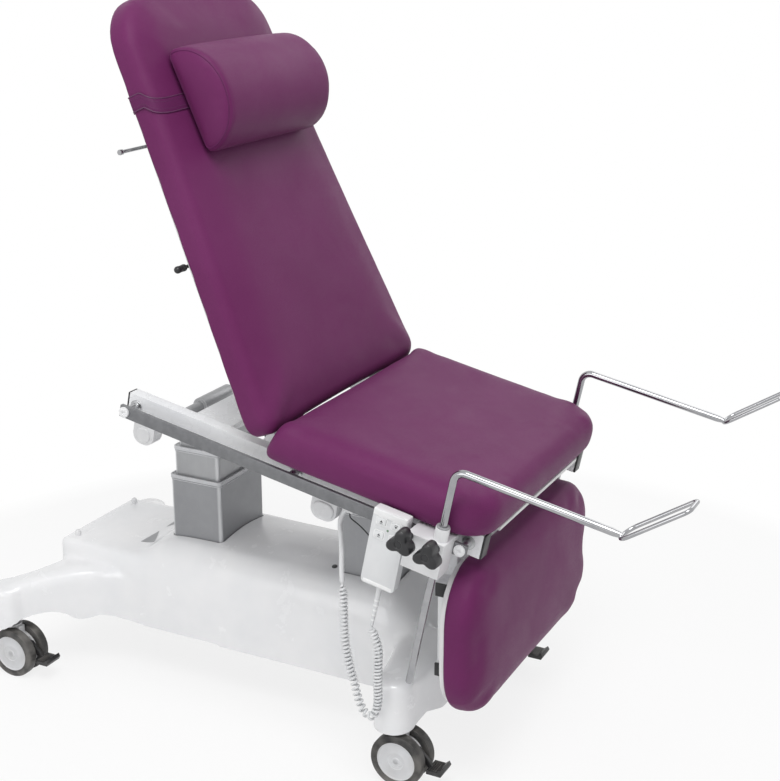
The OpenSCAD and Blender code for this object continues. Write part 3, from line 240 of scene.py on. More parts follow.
def row_at(rows, p):
    """Point of the smooth curve through the rows of a table, at a fractional row number."""
    last = len(rows) - 1
    i = min(int(p), last - 1)
    a, b, c, d = (np.array(rows[k], float) for k in (max(i - 1, 0), i, i + 1, min(i + 2, last)))
    t = p - i
    return (2 * b + (c - a) * t + (2 * a - 5 * b + 4 * c - d) * t * t
            + (3 * b - a - 3 * c + d) * t ** 3) / 2


def smooth_through(rows, steps):
    return [row_at(rows, i / steps) for i in range(steps * (len(rows) - 1) + 1)]


def unit(v):
    return v / np.linalg.norm(v)


def clamped(share):
    return max(0, min(1, share))


def eased(share):
    """Smooth step of shares between 0 and 1."""
    return share * share * (3 - 2 * share)


# Mesh parts are pairs of points and faces, in metres
def lofted(rings):
    """Closed form through rings of equal count."""
    count, last = len(rings[0]), len(rings) - 1
    faces = [(i * count + j, i * count + (j + 1) % count, (i + 1) * count + (j + 1) % count,
              (i + 1) * count + j) for i in range(last) for j in range(count)]
    faces.append(tuple(range(count))[::-1])
    faces.append(tuple(last * count + j for j in range(count)))
    return [tuple(p) for ring in rings for p in ring], faces


def swept(points, radii, sides=16, start=None):
    """Closed tube along points, with one radius or one for each point."""
    points = [np.array(p, float) for p in points]
    if not hasattr(radii, "__len__"):
        radii = [radii] * len(points)
    normal = start
    rings = []
    for i, point in enumerate(points):
        along = unit(points[min(i + 1, len(points) - 1)] - points[max(i - 1, 0)])
        if normal is None:
            normal = np.cross(along, [0.3, 0.2, 1.0])
        normal = unit(normal - along * np.dot(normal, along))
        side = np.cross(along, normal)
        rings.append([point + radii[i] * (normal * math.cos(a) + side * math.sin(a))
                      for a in (2 * math.pi * k / sides for k in range(sides))])
    return lofted(rings)


def turned(profile, sides=48, place=lambda p: p, axis="x"):
    """Form turned about an axis through the origin: profile rows are place along it and radius."""
    rings = []
    for along, radius in profile:
        ring = []
        for k in range(sides):
            a = 2 * math.pi * k / sides
            c, s = max(radius, 0.001) * math.cos(a), max(radius, 0.001) * math.sin(a)
            ring.append(place((along, c, s) if axis == "x" else (c, s, along)))
        rings.append(ring)
    return lofted(rings)


def rounded_block(low, high, r, place, steps=4):
    """Block with round edges all over, between two corners."""
    middle = [(a + b) / 2 for a, b in zip(low, high)]
    half = [(b - a) / 2 - r for a, b in zip(low, high)]
    rings = []
    turns = [math.radians(90 * k / steps - 90) for k in range(steps + 1)]
    levels = [(a, -1) for a in turns] + [(a + math.pi / 2, 1) for a in turns]
    for a, sign in levels:
        out, z = r * math.cos(a), middle[2] + sign * half[2] + r * math.sin(a)
        ring = []
        for cx, cy, first in ((1, 1, 0), (-1, 1, 90), (-1, -1, 180), (1, -1, 270)):
            for k in range(steps + 1):
                b = math.radians(first + 90 * k / steps)
                ring.append(place((middle[0] + cx * half[0] + max(out, 0.01) * math.cos(b),
                                   middle[1] + cy * half[1] + max(out, 0.01) * math.sin(b), z)))
        rings.append(ring)
    return lofted(rings)


def hoop(profile, sides=72, place=lambda p: p):
    """Ring turned about the x axis, from a closed profile of place along it and radius."""
    count = len(profile)
    points = [tuple(place((along, r * math.cos(a), r * math.sin(a))))
              for a in (2 * math.pi * k / sides for k in range(sides)) for along, r in profile]
    return points, wrapped(sides, count)


def wrapped(rings, count):
    """Faces of a form that closes on itself both ways, over rings of equal count."""
    return [(i * count + j, i * count + (j + 1) % count, (i + 1) % rings * count + (j + 1) % count,
             (i + 1) % rings * count + j) for i in range(rings) for j in range(count)]


def looped(points, radius, normal, sides=16):
    """Closed ring of round wire along points in a plane with that normal."""
    points = [np.array(p, float) for p in points]
    normal, rings = unit(np.array(normal)), []
    for i, point in enumerate(points):
        side = np.cross(unit(points[(i + 1) % len(points)] - points[i - 1]), normal)
        rings += [tuple(point + radius * (normal * math.cos(a) + side * math.sin(a)))
                  for a in (2 * math.pi * k / sides for k in range(sides))]
    return rings, wrapped(len(points), sides)


def round_outline(w, d, r, grow=0.0, steps=6):
    """Rectangle with round corners about the origin, grown outwards on all sides."""
    points = []
    for x, y, first in ((1, 1, 0), (-1, 1, 90), (-1, -1, 180), (1, -1, 270)):
        for k in range(steps + 1):
            a = math.radians(first + 90 * k / steps)
            points.append((x * (w / 2 - r) + (r + grow) * math.cos(a),
                           y * (d / 2 - r) + (r + grow) * math.sin(a)))
    return points


def banded(outline, profile, place):
    """Band round an outline, from a closed profile of outward distance and height."""
    rings = [[tuple(place((x, y, z))) for x, y in outline(grow)] for grow, z in profile]
    return [p for ring in rings for p in ring], wrapped(len(rings), len(rings[0]))


def cylinder(radius, x0, x1, place, edge=0.6, sides=32):
    """Pin along x with eased ends."""
    turns = [math.radians(30 * k) for k in range(4)]
    profile = [(x0 + edge * (1 - math.sin(a)), radius - edge * (1 - math.cos(a))) for a in turns[::-1]]
    profile = [(x0, 0)] + sorted(profile) + sorted(
        (x1 - edge * (1 - math.sin(a)), radius - edge * (1 - math.cos(a))) for a in turns) + [(x1, 0)]
    return turned(profile, sides, place)


def joined(parts):
    """One clean mesh of several parts, with its faces pointing outwards."""
    work = bmesh.new()
    for points, faces in parts:
        corners = [work.verts.new(p) for p in points]
        for face in faces:
            work.faces.new([corners[i] for i in face])
    bmesh.ops.remove_doubles(work, verts=work.verts, dist=4e-6)
    bmesh.ops.recalc_face_normals(work, faces=work.faces)
    return work


def linked(name, data):
    """A new object in the scene."""
    made = bpy.data.objects.new(name, data)
    bpy.context.scene.collection.objects.link(made)
    return made


def shaded(mesh, angle):
    mesh.shade_smooth()
    mesh.set_sharp_from_angle(angle=math.radians(angle))


def as_object(name, work, angle=35):
    mesh = bpy.data.meshes.new(name)
    work.to_mesh(mesh)
    work.free()
    shaded(mesh, angle)
    return linked(name, mesh)


def settle(made, angle=35):
    """Applies the object's modifiers and leaves one plain mesh."""
    bpy.context.view_layer.update()
    seen = made.evaluated_get(bpy.context.evaluated_depsgraph_get())
    mesh = bpy.data.meshes.new_from_object(seen)
    made.modifiers.clear()
    made.data = mesh
    shaded(mesh, angle)
    return made


def dress(made, material, node, stands_for=True, slot=None):
    """Gives a piece its finish, and the body and place in the record of the node it belongs to."""
    made.data.materials.clear()
    made.data.materials.append(material)
    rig.ride(made, BODIES[node])
    if stands_for:
        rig.replaces(made, node)
    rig.slot(made, slot or SLOTS[node])
    return made


def piece(name, parts, material, node, stands_for=True, angle=35, slot=None):
    return dress(as_object(name, joined(parts), angle), material, node, stands_for, slot)


def softened(node, name, material, edge=1.0, segments=2, keep=None, stands_for=True, angle=35):
    """The node's own shape with its edges rounded as real sheet, tube and moulding have them."""
    work = bmesh.new()
    work.from_mesh(NODES[node].data)
    bmesh.ops.remove_doubles(work, verts=work.verts, dist=4e-6)
    if keep:
        out = [v for v in work.verts if not keep(v.co)]
        bmesh.ops.delete(work, geom=out, context="VERTS")
    bmesh.ops.dissolve_limit(work, angle_limit=math.radians(0.5), verts=work.verts, edges=work.edges)
    made = as_object(name, work, angle)
    bevel = made.modifiers.new("soft edges", "BEVEL")
    bevel.width, bevel.segments, bevel.limit_method = edge * MM, segments, "ANGLE"
    bevel.angle_limit = math.radians(40)
    bevel.use_clamp_overlap = True
    settle(made, angle)
    return dress(made, material, node, stands_for)


# Camera, where the photograph was taken from
camera = linked("camera", bpy.data.cameras.new("camera"))
CAMERA_RIGHT = Vector((0.455348, -0.890305, 0))
CAMERA_DOWN = Vector((-0.276955, -0.141653, -0.950385))
CAMERA_AHEAD = Vector((0.846141, 0.432771, -0.311076))
camera.matrix_world = (Matrix.Translation((-2.820992, -1.517068, 1.829131))
                       @ Matrix((CAMERA_RIGHT, -CAMERA_DOWN, -CAMERA_AHEAD)).transposed().to_4x4())
camera.data.sensor_width = 36
camera.data.lens = 67.667
bpy.context.scene.camera = camera


# Shader effects that several finishes share
def node_in(tree, kind, inputs=None, **settings):
    """A new node with its settings, its inputs set or linked by name or number."""
    node = tree.nodes.new(kind)
    for name, value in settings.items():
        setattr(node, name, value)
    for name, value in (inputs or {}).items():
        if isinstance(value, bpy.types.NodeSocket):
            tree.links.new(value, node.inputs[name])
        else:
            node.inputs[name].default_value = value
    return node


def place(tree, kind, inputs=None, **settings):
    return node_in(tree, "ShaderNode" + kind, inputs, **settings)


def own_place(tree):
    return place(tree, "TexCoord").outputs["Object"]


def effect(name, inputs, outputs):
    """An empty shader group with named number inputs and outputs, and its two end nodes."""
    tree = bpy.data.node_groups.new(name, "ShaderNodeTree")
    for label, value in inputs.items():
        socket = tree.interface.new_socket(label, in_out="INPUT", socket_type="NodeSocketFloat")
        socket.default_value = value
    for label in outputs:
        tree.interface.new_socket(label, in_out="OUTPUT", socket_type="NodeSocketFloat")
    return tree, tree.nodes.new("NodeGroupInput").outputs, tree.nodes.new("NodeGroupOutput").inputs


def maths(tree, operation, a, b=0.0, clamp=False):
    return place(tree, "Math", {0: a, 1: b}, operation=operation, use_clamp=clamp).outputs[0]


def ranged(tree, value, from_low, from_high, to_low=0.0, to_high=1.0):
    node = place(tree, "MapRange", {"Value": value, "From Min": from_low, "From Max": from_high,
                                    "To Min": to_low, "To Max": to_high})
    return node.outputs["Result"]


def tinted(tree, share, a, b):
    """Colour between a and b."""
    return place(tree, "Mix", {0: share, 6: a, 7: b}, data_type="RGBA").outputs[2]


def moulding_grain():
    """Fine unevenness of a moulded or painted skin, and slow changes of tone across it."""
    tree, given, gives = effect("moulding grain", {"Fine scale": 900.0, "Broad scale": 6.0},
                                ["Height", "Tone"])
    where = own_place(tree)
    fine = place(tree, "TexNoise", {"Vector": where, "Scale": given["Fine scale"], "Detail": 2.0})
    broad = place(tree, "TexNoise", {"Vector": where, "Scale": given["Broad scale"], "Detail": 4.0,
                                     "Roughness": 0.6})
    tree.links.new(fine.outputs[0], gives["Height"])
    tree.links.new(ranged(tree, broad.outputs[0], 0.32, 0.68), gives["Tone"])
    return tree


def edge_wear():
    """Where corners stand proud and hands, feet or straps rub, in broken patches."""
    tree, given, gives = effect("edge wear", {"Amount": 0.5, "Patch scale": 60.0}, ["Mask"])
    where = own_place(tree)
    proud = ranged(tree, place(tree, "NewGeometry").outputs["Pointiness"], 0.51, 0.57)
    patch = place(tree, "TexNoise", {"Vector": where, "Scale": given["Patch scale"], "Detail": 5.0})
    broken = ranged(tree, patch.outputs[0], 0.42, 0.62)
    tree.links.new(maths(tree, "MULTIPLY", maths(tree, "MULTIPLY", proud, broken), given["Amount"], True),
                   gives["Mask"])
    return tree


def dust_film():
    """Light dust: on faces that look up, and more of it towards the floor."""
    tree, given, gives = effect("dust film", {"Amount": 0.2, "Floor height": 0.25}, ["Mask"])
    found = place(tree, "TexCoord")
    up = place(tree, "SeparateXYZ", {0: found.outputs["Normal"]}).outputs[2]
    height = place(tree, "SeparateXYZ", {0: found.outputs["Object"]}).outputs[2]
    flat = ranged(tree, up, 0.55, 1.0, 0.0, 0.7)
    low = place(tree, "MapRange", {"Value": height, "From Min": given["Floor height"], "From Max": 0.0})
    cloud = place(tree, "TexNoise", {"Vector": found.outputs["Object"], "Scale": 24.0, "Detail": 6.0})
    settled = maths(tree, "ADD", flat, low.outputs["Result"], True)
    thin = maths(tree, "MULTIPLY", settled, ranged(tree, cloud.outputs[0], 0.35, 0.7))
    tree.links.new(maths(tree, "MULTIPLY", thin, given["Amount"], True), gives["Mask"])
    return tree


def drawn_lines():
    """Long fine lines of a drawn, extruded or brushed metal. The larger scales run across them."""
    tree, given, gives = effect("drawn lines", {"Scale X": 400.0, "Scale Y": 400.0, "Scale Z": 4.0},
                                ["Line"])
    where = place(tree, "SeparateXYZ", {0: own_place(tree)})
    stretched = place(tree, "CombineXYZ", {
        k: maths(tree, "MULTIPLY", where.outputs[k], given["Scale " + "XYZ"[k]]) for k in range(3)})
    noise = place(tree, "TexNoise", {"Vector": stretched.outputs[0], "Scale": 1.0, "Detail": 3.0})
    tree.links.new(noise.outputs[0], gives["Line"])
    return tree


def leather_pebble():
    """Pebbled skin of coated fabric: round cells, creases between them and a fine weave below."""
    tree, given, gives = effect("leather pebble", {"Cell scale": 620.0, "Wander": 0.0012},
                                ["Height", "Crease", "Tone"])
    where = own_place(tree)
    drift = place(tree, "TexNoise", {"Vector": where, "Scale": 260.0, "Detail": 2.0})
    moved = place(tree, "VectorMath", {0: drift.outputs["Color"], 1: (0.5, 0.5, 0.5)},
                  operation="SUBTRACT")
    scaled = place(tree, "VectorMath", {0: moved.outputs[0], "Scale": given["Wander"]}, operation="SCALE")
    bent = place(tree, "VectorMath", {0: where, 1: scaled.outputs[0]}, operation="ADD")
    cells = place(tree, "TexVoronoi", {"Vector": bent.outputs[0], "Scale": given["Cell scale"]},
                  feature="DISTANCE_TO_EDGE")
    dome = ranged(tree, cells.outputs["Distance"], 0.0, 0.28)
    fine = place(tree, "TexNoise", {"Vector": where, "Scale": 2600.0, "Detail": 2.0})
    height = maths(tree, "ADD", dome, maths(tree, "MULTIPLY", fine.outputs[0], 0.25))
    broad = place(tree, "TexNoise", {"Vector": where, "Scale": 5.0, "Detail": 5.0, "Roughness": 0.55})
    tree.links.new(height, gives["Height"])
    tree.links.new(ranged(tree, dome, 0.0, 0.5, 1.0, 0.0), gives["Crease"])
    tree.links.new(ranged(tree, broad.outputs[0], 0.3, 0.7), gives["Tone"])
    return tree


def hand_smudges():
    """Patches where cleaning and hands leave a surface a little duller."""
    tree, given, gives = effect("hand smudges", {"Scale": 14.0}, ["Dull"])
    where = own_place(tree)
    cloud = place(tree, "TexNoise", {"Vector": where, "Scale": given["Scale"], "Detail": 6.0,
                                     "Roughness": 0.65, "Distortion": 0.6})
    tree.links.new(ranged(tree, cloud.outputs[0], 0.35, 0.7), gives["Dull"])
    return tree


EFFECTS = {make.__name__: make() for make in (
    moulding_grain, edge_wear, dust_film, drawn_lines, leather_pebble, hand_smudges)}


def used(tree, name, **inputs):
    """A shared effect placed in a material with its own values."""
    node = place(tree, "Group")
    node.node_tree = EFFECTS[name]
    for label, value in inputs.items():
        node.inputs[label.replace("_", " ")].default_value = value
    return node.outputs


def ink(text):
    """Linear colour of a colour written as in a picture editor."""
    parts = [int(text[k:k + 2], 16) / 255 for k in (1, 3, 5)]
    return (*[c / 12.92 if c <= 0.04045 else ((c + 0.055) / 1.055) ** 2.4 for c in parts], 1)


DUST = ink("#B4B0AA")
WEAR_SHARE = 0.2


def empty_material(name):
    material = bpy.data.materials.new(name)
    material.use_nodes = True
    material.node_tree.nodes.clear()
    return material, material.node_tree


def finish(name, colour, shade, rough, metal=0.0, coat=0.0, fine=900.0, depth=0.02, broad=6.0,
           worn=None, wear=0.0, dust=0.1, lines=None, line_depth=0.02, specular=0.5, corners=None):
    """A rigid surface: two tones, worn edges, dust, smudged gloss and a fine skin or drawn lines, and a painted
    highlight on rounded corners when a corner colour is given.
    """
    material, tree = empty_material(name)
    grain = used(tree, "moulding_grain", Fine_scale=fine, Broad_scale=broad)
    base = tinted(tree, grain["Tone"], ink(colour), ink(shade))
    height = grain["Height"]
    # Painted highlight: faces whose normal leans between the x and y axes, such as a column's rounded corners, turn
    # towards the corner colour.
    if corners:
        around = place(tree, "SeparateXYZ", {0: place(tree, "TexCoord").outputs["Normal"]})
        both = maths(tree, "MULTIPLY", maths(tree, "ABSOLUTE", around.outputs[0]),
                     maths(tree, "ABSOLUTE", around.outputs[1]))
        base = tinted(tree, ranged(tree, both, 0.08, 0.45), base, ink(corners))
    if lines:
        line = used(tree, "drawn_lines", Scale_X=lines[0], Scale_Y=lines[1], Scale_Z=lines[2])["Line"]
        base = tinted(tree, ranged(tree, line, 0.3, 0.7, 0.0, 0.35), base, ink(shade))
        height = maths(tree, "ADD", maths(tree, "MULTIPLY", height, 0.4), line)
    if worn:
        mask = used(tree, "edge_wear", Amount=wear * WEAR_SHARE)["Mask"]
        base = tinted(tree, mask, base, ink(worn))
    film = used(tree, "dust_film", Amount=dust)["Mask"]
    base = tinted(tree, film, base, DUST)
    dull = used(tree, "hand_smudges")["Dull"]
    gloss = ranged(tree, dull, 0.0, 1.0, rough[0], rough[1])
    gloss = maths(tree, "ADD", gloss, maths(tree, "MULTIPLY", film, 0.4), True)
    bump = place(tree, "Bump", {"Height": height, "Strength": 0.5,
                                "Distance": (line_depth if lines else depth) * MM})
    shader = place(tree, "BsdfPrincipled", {
        "Base Color": base, "Roughness": gloss, "Metallic": metal, "Coat Weight": coat,
        "Coat Roughness": 0.08, "Specular IOR Level": specular, "Normal": bump.outputs[0]})
    place(tree, "OutputMaterial", {"Surface": shader.outputs[0]})
    return material


def leatherette(name, colour, light, crease, cells=620.0, rough=(0.42, 0.54)):
    """Coated upholstery fabric: pebbled, a little shiny on the domes, darker in the creases."""
    material, tree = empty_material(name)
    skin = used(tree, "leather_pebble", Cell_scale=cells)
    base = tinted(tree, skin["Tone"], ink(colour), ink(light))
    base = tinted(tree, maths(tree, "MULTIPLY", skin["Crease"], 0.35), base, ink(crease))
    rubbed = used(tree, "edge_wear", Amount=0.25, Patch_scale=30.0)["Mask"]
    base = tinted(tree, rubbed, base, ink(light))
    film = used(tree, "dust_film", Amount=0.012)["Mask"]
    base = tinted(tree, film, base, DUST)
    dull = used(tree, "hand_smudges", Scale=8.0)["Dull"]
    gloss = maths(tree, "ADD", ranged(tree, dull, 0.0, 1.0, rough[0], rough[1]),
                  maths(tree, "MULTIPLY", skin["Crease"], 0.12), True)
    bump = place(tree, "Bump", {"Height": skin["Height"], "Strength": 0.55, "Distance": 0.12 * MM})
    shader = place(tree, "BsdfPrincipled", {
        "Base Color": base, "Roughness": gloss, "Sheen Weight": 0.03, "Sheen Roughness": 0.4,
        "Specular IOR Level": 0.16, "Normal": bump.outputs[0]})
    place(tree, "OutputMaterial", {"Surface": shader.outputs[0]})
    return material


COVER_WHITE = finish("gloss white moulding", "#EDEDEE", "#E6E7E9", (0.16, 0.3), coat=0.25, fine=500.0,
                     depth=0.02, worn="#DADAD9", wear=0.25, dust=0.05)
ENAMEL_WHITE = finish("white enamel on steel", "#EDEEEF", "#E4E5E8", (0.22, 0.36), coat=0.2, fine=700.0,
                      depth=0.02, worn="#C4C4C5", wear=0.3, dust=0.04)
CLAMP_WHITE = finish("white glass nylon", "#E9E9EA", "#E0E1E3", (0.3, 0.44), fine=1500.0, depth=0.05,
                     worn="#D0CFCD", wear=0.4, dust=0.1)
BOARD_WHITE = finish("white laminate board", "#E8E8E8", "#DFDFE0", (0.32, 0.42), fine=1200.0, depth=0.04,
                     worn="#C6C1B8", wear=0.3, dust=0.12)
CHASSIS_GREY = finish("grey powder coat", "#8B8C8E", "#7F8082", (0.42, 0.6), fine=1600.0, depth=0.12,
                      worn="#A9AAAB", wear=0.4, dust=0.5)
# Both column finishes paint a highlight along their rounded corners with their corner colour.
COLUMN_GREY = finish("satin aluminium column", "#97989B", "#8C8D90", (0.34, 0.44), metal=0.35, fine=1400.0,
                     worn="#C9CACC", wear=0.35, dust=0.03, lines=(900.0, 900.0, 6.0), line_depth=0.006,
                     corners="#D4D5D7")
COLUMN_INNER = finish("inner column tube", "#A5A6A8", "#97989A", (0.3, 0.42), metal=0.45, fine=1400.0,
                      worn="#D0D0D2", wear=0.3, dust=0.03, lines=(900.0, 900.0, 6.0), line_depth=0.006,
                      corners="#D9DADC")
COLLAR_LIGHT = finish("light column collar", "#C6C7CA", "#BCBDC0", (0.3, 0.4), fine=1300.0, depth=0.03,
                      worn="#F0F0F0", wear=0.3, dust=0.12)
RAIL_STEEL = finish("brushed rail steel", "#757678", "#6E6F72", (0.32, 0.44), metal=0.4, fine=1600.0,
                    worn="#C4C5C6", wear=0.5, dust=0.02, lines=(500.0, 5.0, 900.0), line_depth=0.005)
PIN_STEEL = finish("zinc plated steel", "#C2C3C4", "#A9AAAC", (0.24, 0.42), metal=1.0, fine=1800.0,
                   depth=0.03, broad=40.0, worn="#8F8F90", wear=0.3, dust=0.05)
CHROME = finish("polished stainless tube", "#ACACAE", "#9B9C9F", (0.1, 0.2), metal=1.0, fine=2200.0,
                depth=0.002, broad=18.0, worn="#DADADA", wear=0.2, dust=0.02)
BLACK_SATIN = finish("satin black plastic", "#1B1B1D", "#232326", (0.3, 0.46), fine=1900.0, depth=0.06,
                     worn="#4A4A4C", wear=0.5, dust=0.1)
TYRE_BLACK = finish("black tyre rubber", "#19191A", "#262627", (0.4, 0.62), fine=1500.0, depth=0.1,
                    worn="#56544F", wear=0.6, dust=0.4, broad=30.0)
CASTER_GREY = finish("pale grey caster plastic", "#D3D4D6", "#C8C9CC", (0.26, 0.4), fine=1500.0,
                     depth=0.05, worn="#AFAEAC", wear=0.4, dust=0.3)
CASTER_WHITE = finish("white caster drum", "#E2E2E3", "#D6D7D9", (0.22, 0.36), fine=1400.0, depth=0.04,
                      worn="#B8B7B4", wear=0.3, dust=0.3)
BUSH_GREY = finish("grey bearing nylon", "#9A9B9D", "#8E8F92", (0.36, 0.5), fine=1800.0, depth=0.05,
                   worn="#C2C3C4", wear=0.3)
HANDSET_GREY = finish("pale grey handset shell", "#DADBDC", "#D0D2D4", (0.34, 0.46), fine=2400.0,
                      depth=0.08, worn="#BDBDBD", wear=0.3, dust=0.08)
HANDSET_WHITE = finish("white handset band", "#EFEFEF", "#E5E6E7", (0.28, 0.38), fine=2400.0, depth=0.05,
                       worn="#CBCBCB", wear=0.3, dust=0.06)
KEY_PALE = finish("pale key membrane", "#E3E4E5", "#D8DADB", (0.4, 0.52), fine=2600.0, depth=0.06,
                  worn="#C4C4C5", wear=0.5, dust=0.05)
KEY_MARK = finish("dark printed mark", "#2E2F33", "#3A3B3F", (0.4, 0.5), fine=2600.0, depth=0.02)
LAMP_GREEN = finish("status lamp lens", "#5F7A62", "#6C876C", (0.12, 0.2), coat=0.6, fine=2000.0,
                    depth=0.01)
CORD_GREY = finish("pale grey cord sheath", "#DCDDDE", "#CFD1D3", (0.34, 0.48), fine=2600.0, depth=0.05,
                   broad=30.0, worn="#C2C2C1", wear=0.4, dust=0.1)
CABLE_BLACK = finish("black cable sheath", "#1D1D1F", "#29292B", (0.36, 0.5), fine=2600.0, depth=0.04,
                     broad=40.0, worn="#404042", wear=0.3)
PLUM = leatherette("plum leatherette", "#662456", "#6C2A5C", "#43173B")
PLUM_STRAP = leatherette("plum strap leatherette", "#5D2150", "#652858", "#391433", cells=800.0)
PLUM_THREAD = finish("plum sewing thread", "#52224A", "#5D2C54", (0.5, 0.62), fine=3200.0, depth=0.1,
                     broad=90.0)


# Handset cord: it leaves the sleeve under the beam, hangs in a loop and comes up to the handset
CORD_D = 5.5
CURLS = 58
CURL_R = 7
CORD_ROUTE = [
    [-305, 312, 452], [-317, 303, 417], [-335, 291, 342], [-350, 272, 287], [-358, 256, 253],
    [-364, 244, 222], [-369, 228, 196], [-372, 209, 188], [-373, 196, 202], [-373, 190, 232],
    [-372, 191, 270], [-370, 191, 317], [-366, 194, 353], [-363, 205, 380], [-362, 210.597, 398.127]]
CORD_NORMAL = unit(np.array([0.917, -0.398, 0]))
CORD_LEAD = 5.8


def coiled_path(turns, per_turn):
    """Points of the curled cord along its route, in metres, and the vector out of its curl."""
    trace = np.array(smooth_through(CORD_ROUTE, 12))
    runs = np.concatenate([[0], np.cumsum(np.linalg.norm(np.diff(trace, axis=0), axis=1))])

    def at(s):
        return np.array([np.interp(s, runs, trace[:, k]) for k in range(3)])

    path, outs = [], []
    count = turns * per_turn
    for i in range(-4, count + 5):
        t = min(max(i, 0), count)
        lead = 1.2 * (i - t)
        s = CORD_LEAD + (runs[-1] - 2 * CORD_LEAD) * np.interp(
            t / count, (0, 0.42, 0.5, 0.6, 1), (0, 0.4, 0.5, 0.64, 1)) + lead
        along = unit(at(min(s + 1, runs[-1])) - at(max(s - 1, 0)))
        n = unit(np.cross(along, CORD_NORMAL))
        b = np.cross(along, n)
        ramp = min(1, min(t, count - t) / per_turn / 0.75)
        a = 2 * math.pi * t / per_turn
        out = n * math.cos(a) + b * math.sin(a)
        path.append(on_floor(at(s) + out * CURL_R * (1 - math.cos(math.pi * ramp)) / 2))
        outs.append(out)
    return path, outs


def handset_cord():
    path, outs = coiled_path(CURLS, 20)
    cord = as_object("handset_cord_coil", joined([swept(path, CORD_D / 2 * MM, 12, outs[0])]), 60)
    cord.data.materials.append(CORD_GREY)
    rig.replaces(cord, "handset_cord")
    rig.slot(cord, SLOTS["handset_cord"])
    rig.blend(cord, "frame", "handset", start=tuple(on_floor((-362, 305, 398))),
             end=tuple(on_floor((-362, 206, 398))))
    length = sum((b - a).length for a, b in zip(path, path[1:]))
    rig.cord(cord, exit=path[0], length=length, diameter=CORD_D * MM, far_end="object",
            stiffness="medium", lay="hanging", path=path)


def seat_cable():
    """Thin cable from the gland block along the beam to its clip."""
    rows = [[-287, 304, -12], [-287, 303, -24], [-290, 296, -28], [-293, 275, -33], [-296, 254, -41],
            [-297, 237, -50], [-297, 215, -51], [-296, 190, -46], [-292, 168, -30], [-288, 157, -16],
            [-287, 155, -4]]
    path = [on_frame(p) for p in smooth_through(rows, 6)]
    cable = piece("seat_cable_run", [swept(path, 1.5 * MM, 12)], CABLE_BLACK, "seat_cable", angle=60)
    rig.cord(cable, exit=path[0], length=sum((b - a).length for a, b in zip(path, path[1:])),
            diameter=3 * MM, far_end="object", stiffness="medium", lay="hanging", path=path)


handset_cord()
seat_cable()


# Upholstery
PAD_DRAW = 3
PAD_CROWN = 8
PAD_SUNK = 6.5
SEAT_TOP = 141.5


def pad_outline(half0, half1, y0, y1, r0, r1, inset, steps=16, arc=8):
    """Outline of a pad seen from above: round corners, and sides that draw in between them."""
    a, b = max(r0 - inset, 3), max(r1 - inset, 3)
    h0, h1, low, high = half0 - inset, half1 - inset, y0 + inset, y1 - inset
    arcs = []
    for x, y, r, first in ((-h0 + a, low + a, a, 180), (h0 - a, low + a, a, 270),
                           (h1 - b, high - b, b, 0), (-h1 + b, high - b, b, 90)):
        arcs.append([np.array([x + r * math.cos(t), y + r * math.sin(t)])
                     for t in (math.radians(first + 90 * k / arc) for k in range(arc + 1))])
    points = []
    for i in range(4):
        p, q = arcs[i][-1], arcs[(i + 1) % 4][0]
        inward = unit(np.array([-(q - p)[1], (q - p)[0]])) * PAD_DRAW * min(1, np.linalg.norm(q - p) / 400)
        points += arcs[i] + [p + (q - p) * k / steps + inward * math.sin(math.pi * k / steps) ** 2
                             for k in range(1, steps)]
    return points


def pad_rings(half0, half1, y0, y1, r0, r1, z0, z1, low_r, top_r, slope=0, inset=0, end_r=None):
    """Outlines of a cushion from its board up. Its far end's upper edge may have its own radius."""
    def end_gain(level, z):
        if end_r is None or z <= z1 - top_r:
            return 0
        rise = min(max(z - z1 + end_r, 0), end_r) / end_r
        return max(0, min(level, top_r) - end_r * (1 - math.sqrt(1 - rise * rise)))

    levels = [(low_r * (1 - math.sin(a)), z0 + low_r * (1 - math.cos(a)))
              for a in (math.radians(15 * k) for k in range(7))]
    levels += [(top_r * (1 - math.cos(a)), z1 - top_r * (1 - math.sin(a)))
               for a in (math.radians(11.25 * k) for k in range(9))]
    levels += [(top_r + 15, z1 + PAD_CROWN * 0.3), (top_r + 30, z1 + PAD_CROWN * 0.5),
               (top_r + 60, z1 + PAD_CROWN * 0.74), (top_r + 95, z1 + PAD_CROWN * 0.9),
               (top_r + 140, z1 + PAD_CROWN)]
    return [[(p[0], p[1], z) for p in pad_outline(
        half0, half1, y0, y1 - slope * (z - z0) + end_gain(level, z), r0, r1, level + inset)]
            for level, z in levels]


def coordinates(mesh):
    found = np.empty(len(mesh.vertices) * 3)
    mesh.vertices.foreach_get("co", found)
    return found.reshape(-1, 3)


def moved_to(made, points):
    made.data.vertices.foreach_set("co", np.asarray(points).ravel())
    made.data.update()


def stuffed(made, flat, cap):
    """Presses the cover out from inside as cloth, held where it lies on its board, up to the cap."""
    rest = coordinates(made.data)
    held = made.vertex_groups.new(name="held")
    held.add([int(i) for i in np.nonzero(rest[:, 2] < flat * MM)[0]], 1, "REPLACE")
    cloth = made.modifiers.new("stuffing", "CLOTH")
    cloth.settings.quality = 5
    cloth.settings.use_pressure = True
    cloth.settings.uniform_pressure_force = 4
    cloth.settings.effector_weights.gravity = 0
    cloth.settings.vertex_group_mass = "held"
    cloth.point_cache.frame_start, cloth.point_cache.frame_end = 1, 20
    for step in range(1, 21):
        bpy.context.scene.frame_set(step)
    seen = made.evaluated_get(bpy.context.evaluated_depsgraph_get())
    shift = coordinates(seen.data) - rest
    made.modifiers.clear()
    made.vertex_groups.clear()
    size = np.linalg.norm(shift, axis=1, keepdims=True)
    limit = cap * MM * np.tanh(size / (cap * MM)) / np.maximum(size, 1e-9)
    moved_to(made, rest + shift * limit)
    bpy.context.scene.frame_set(1)


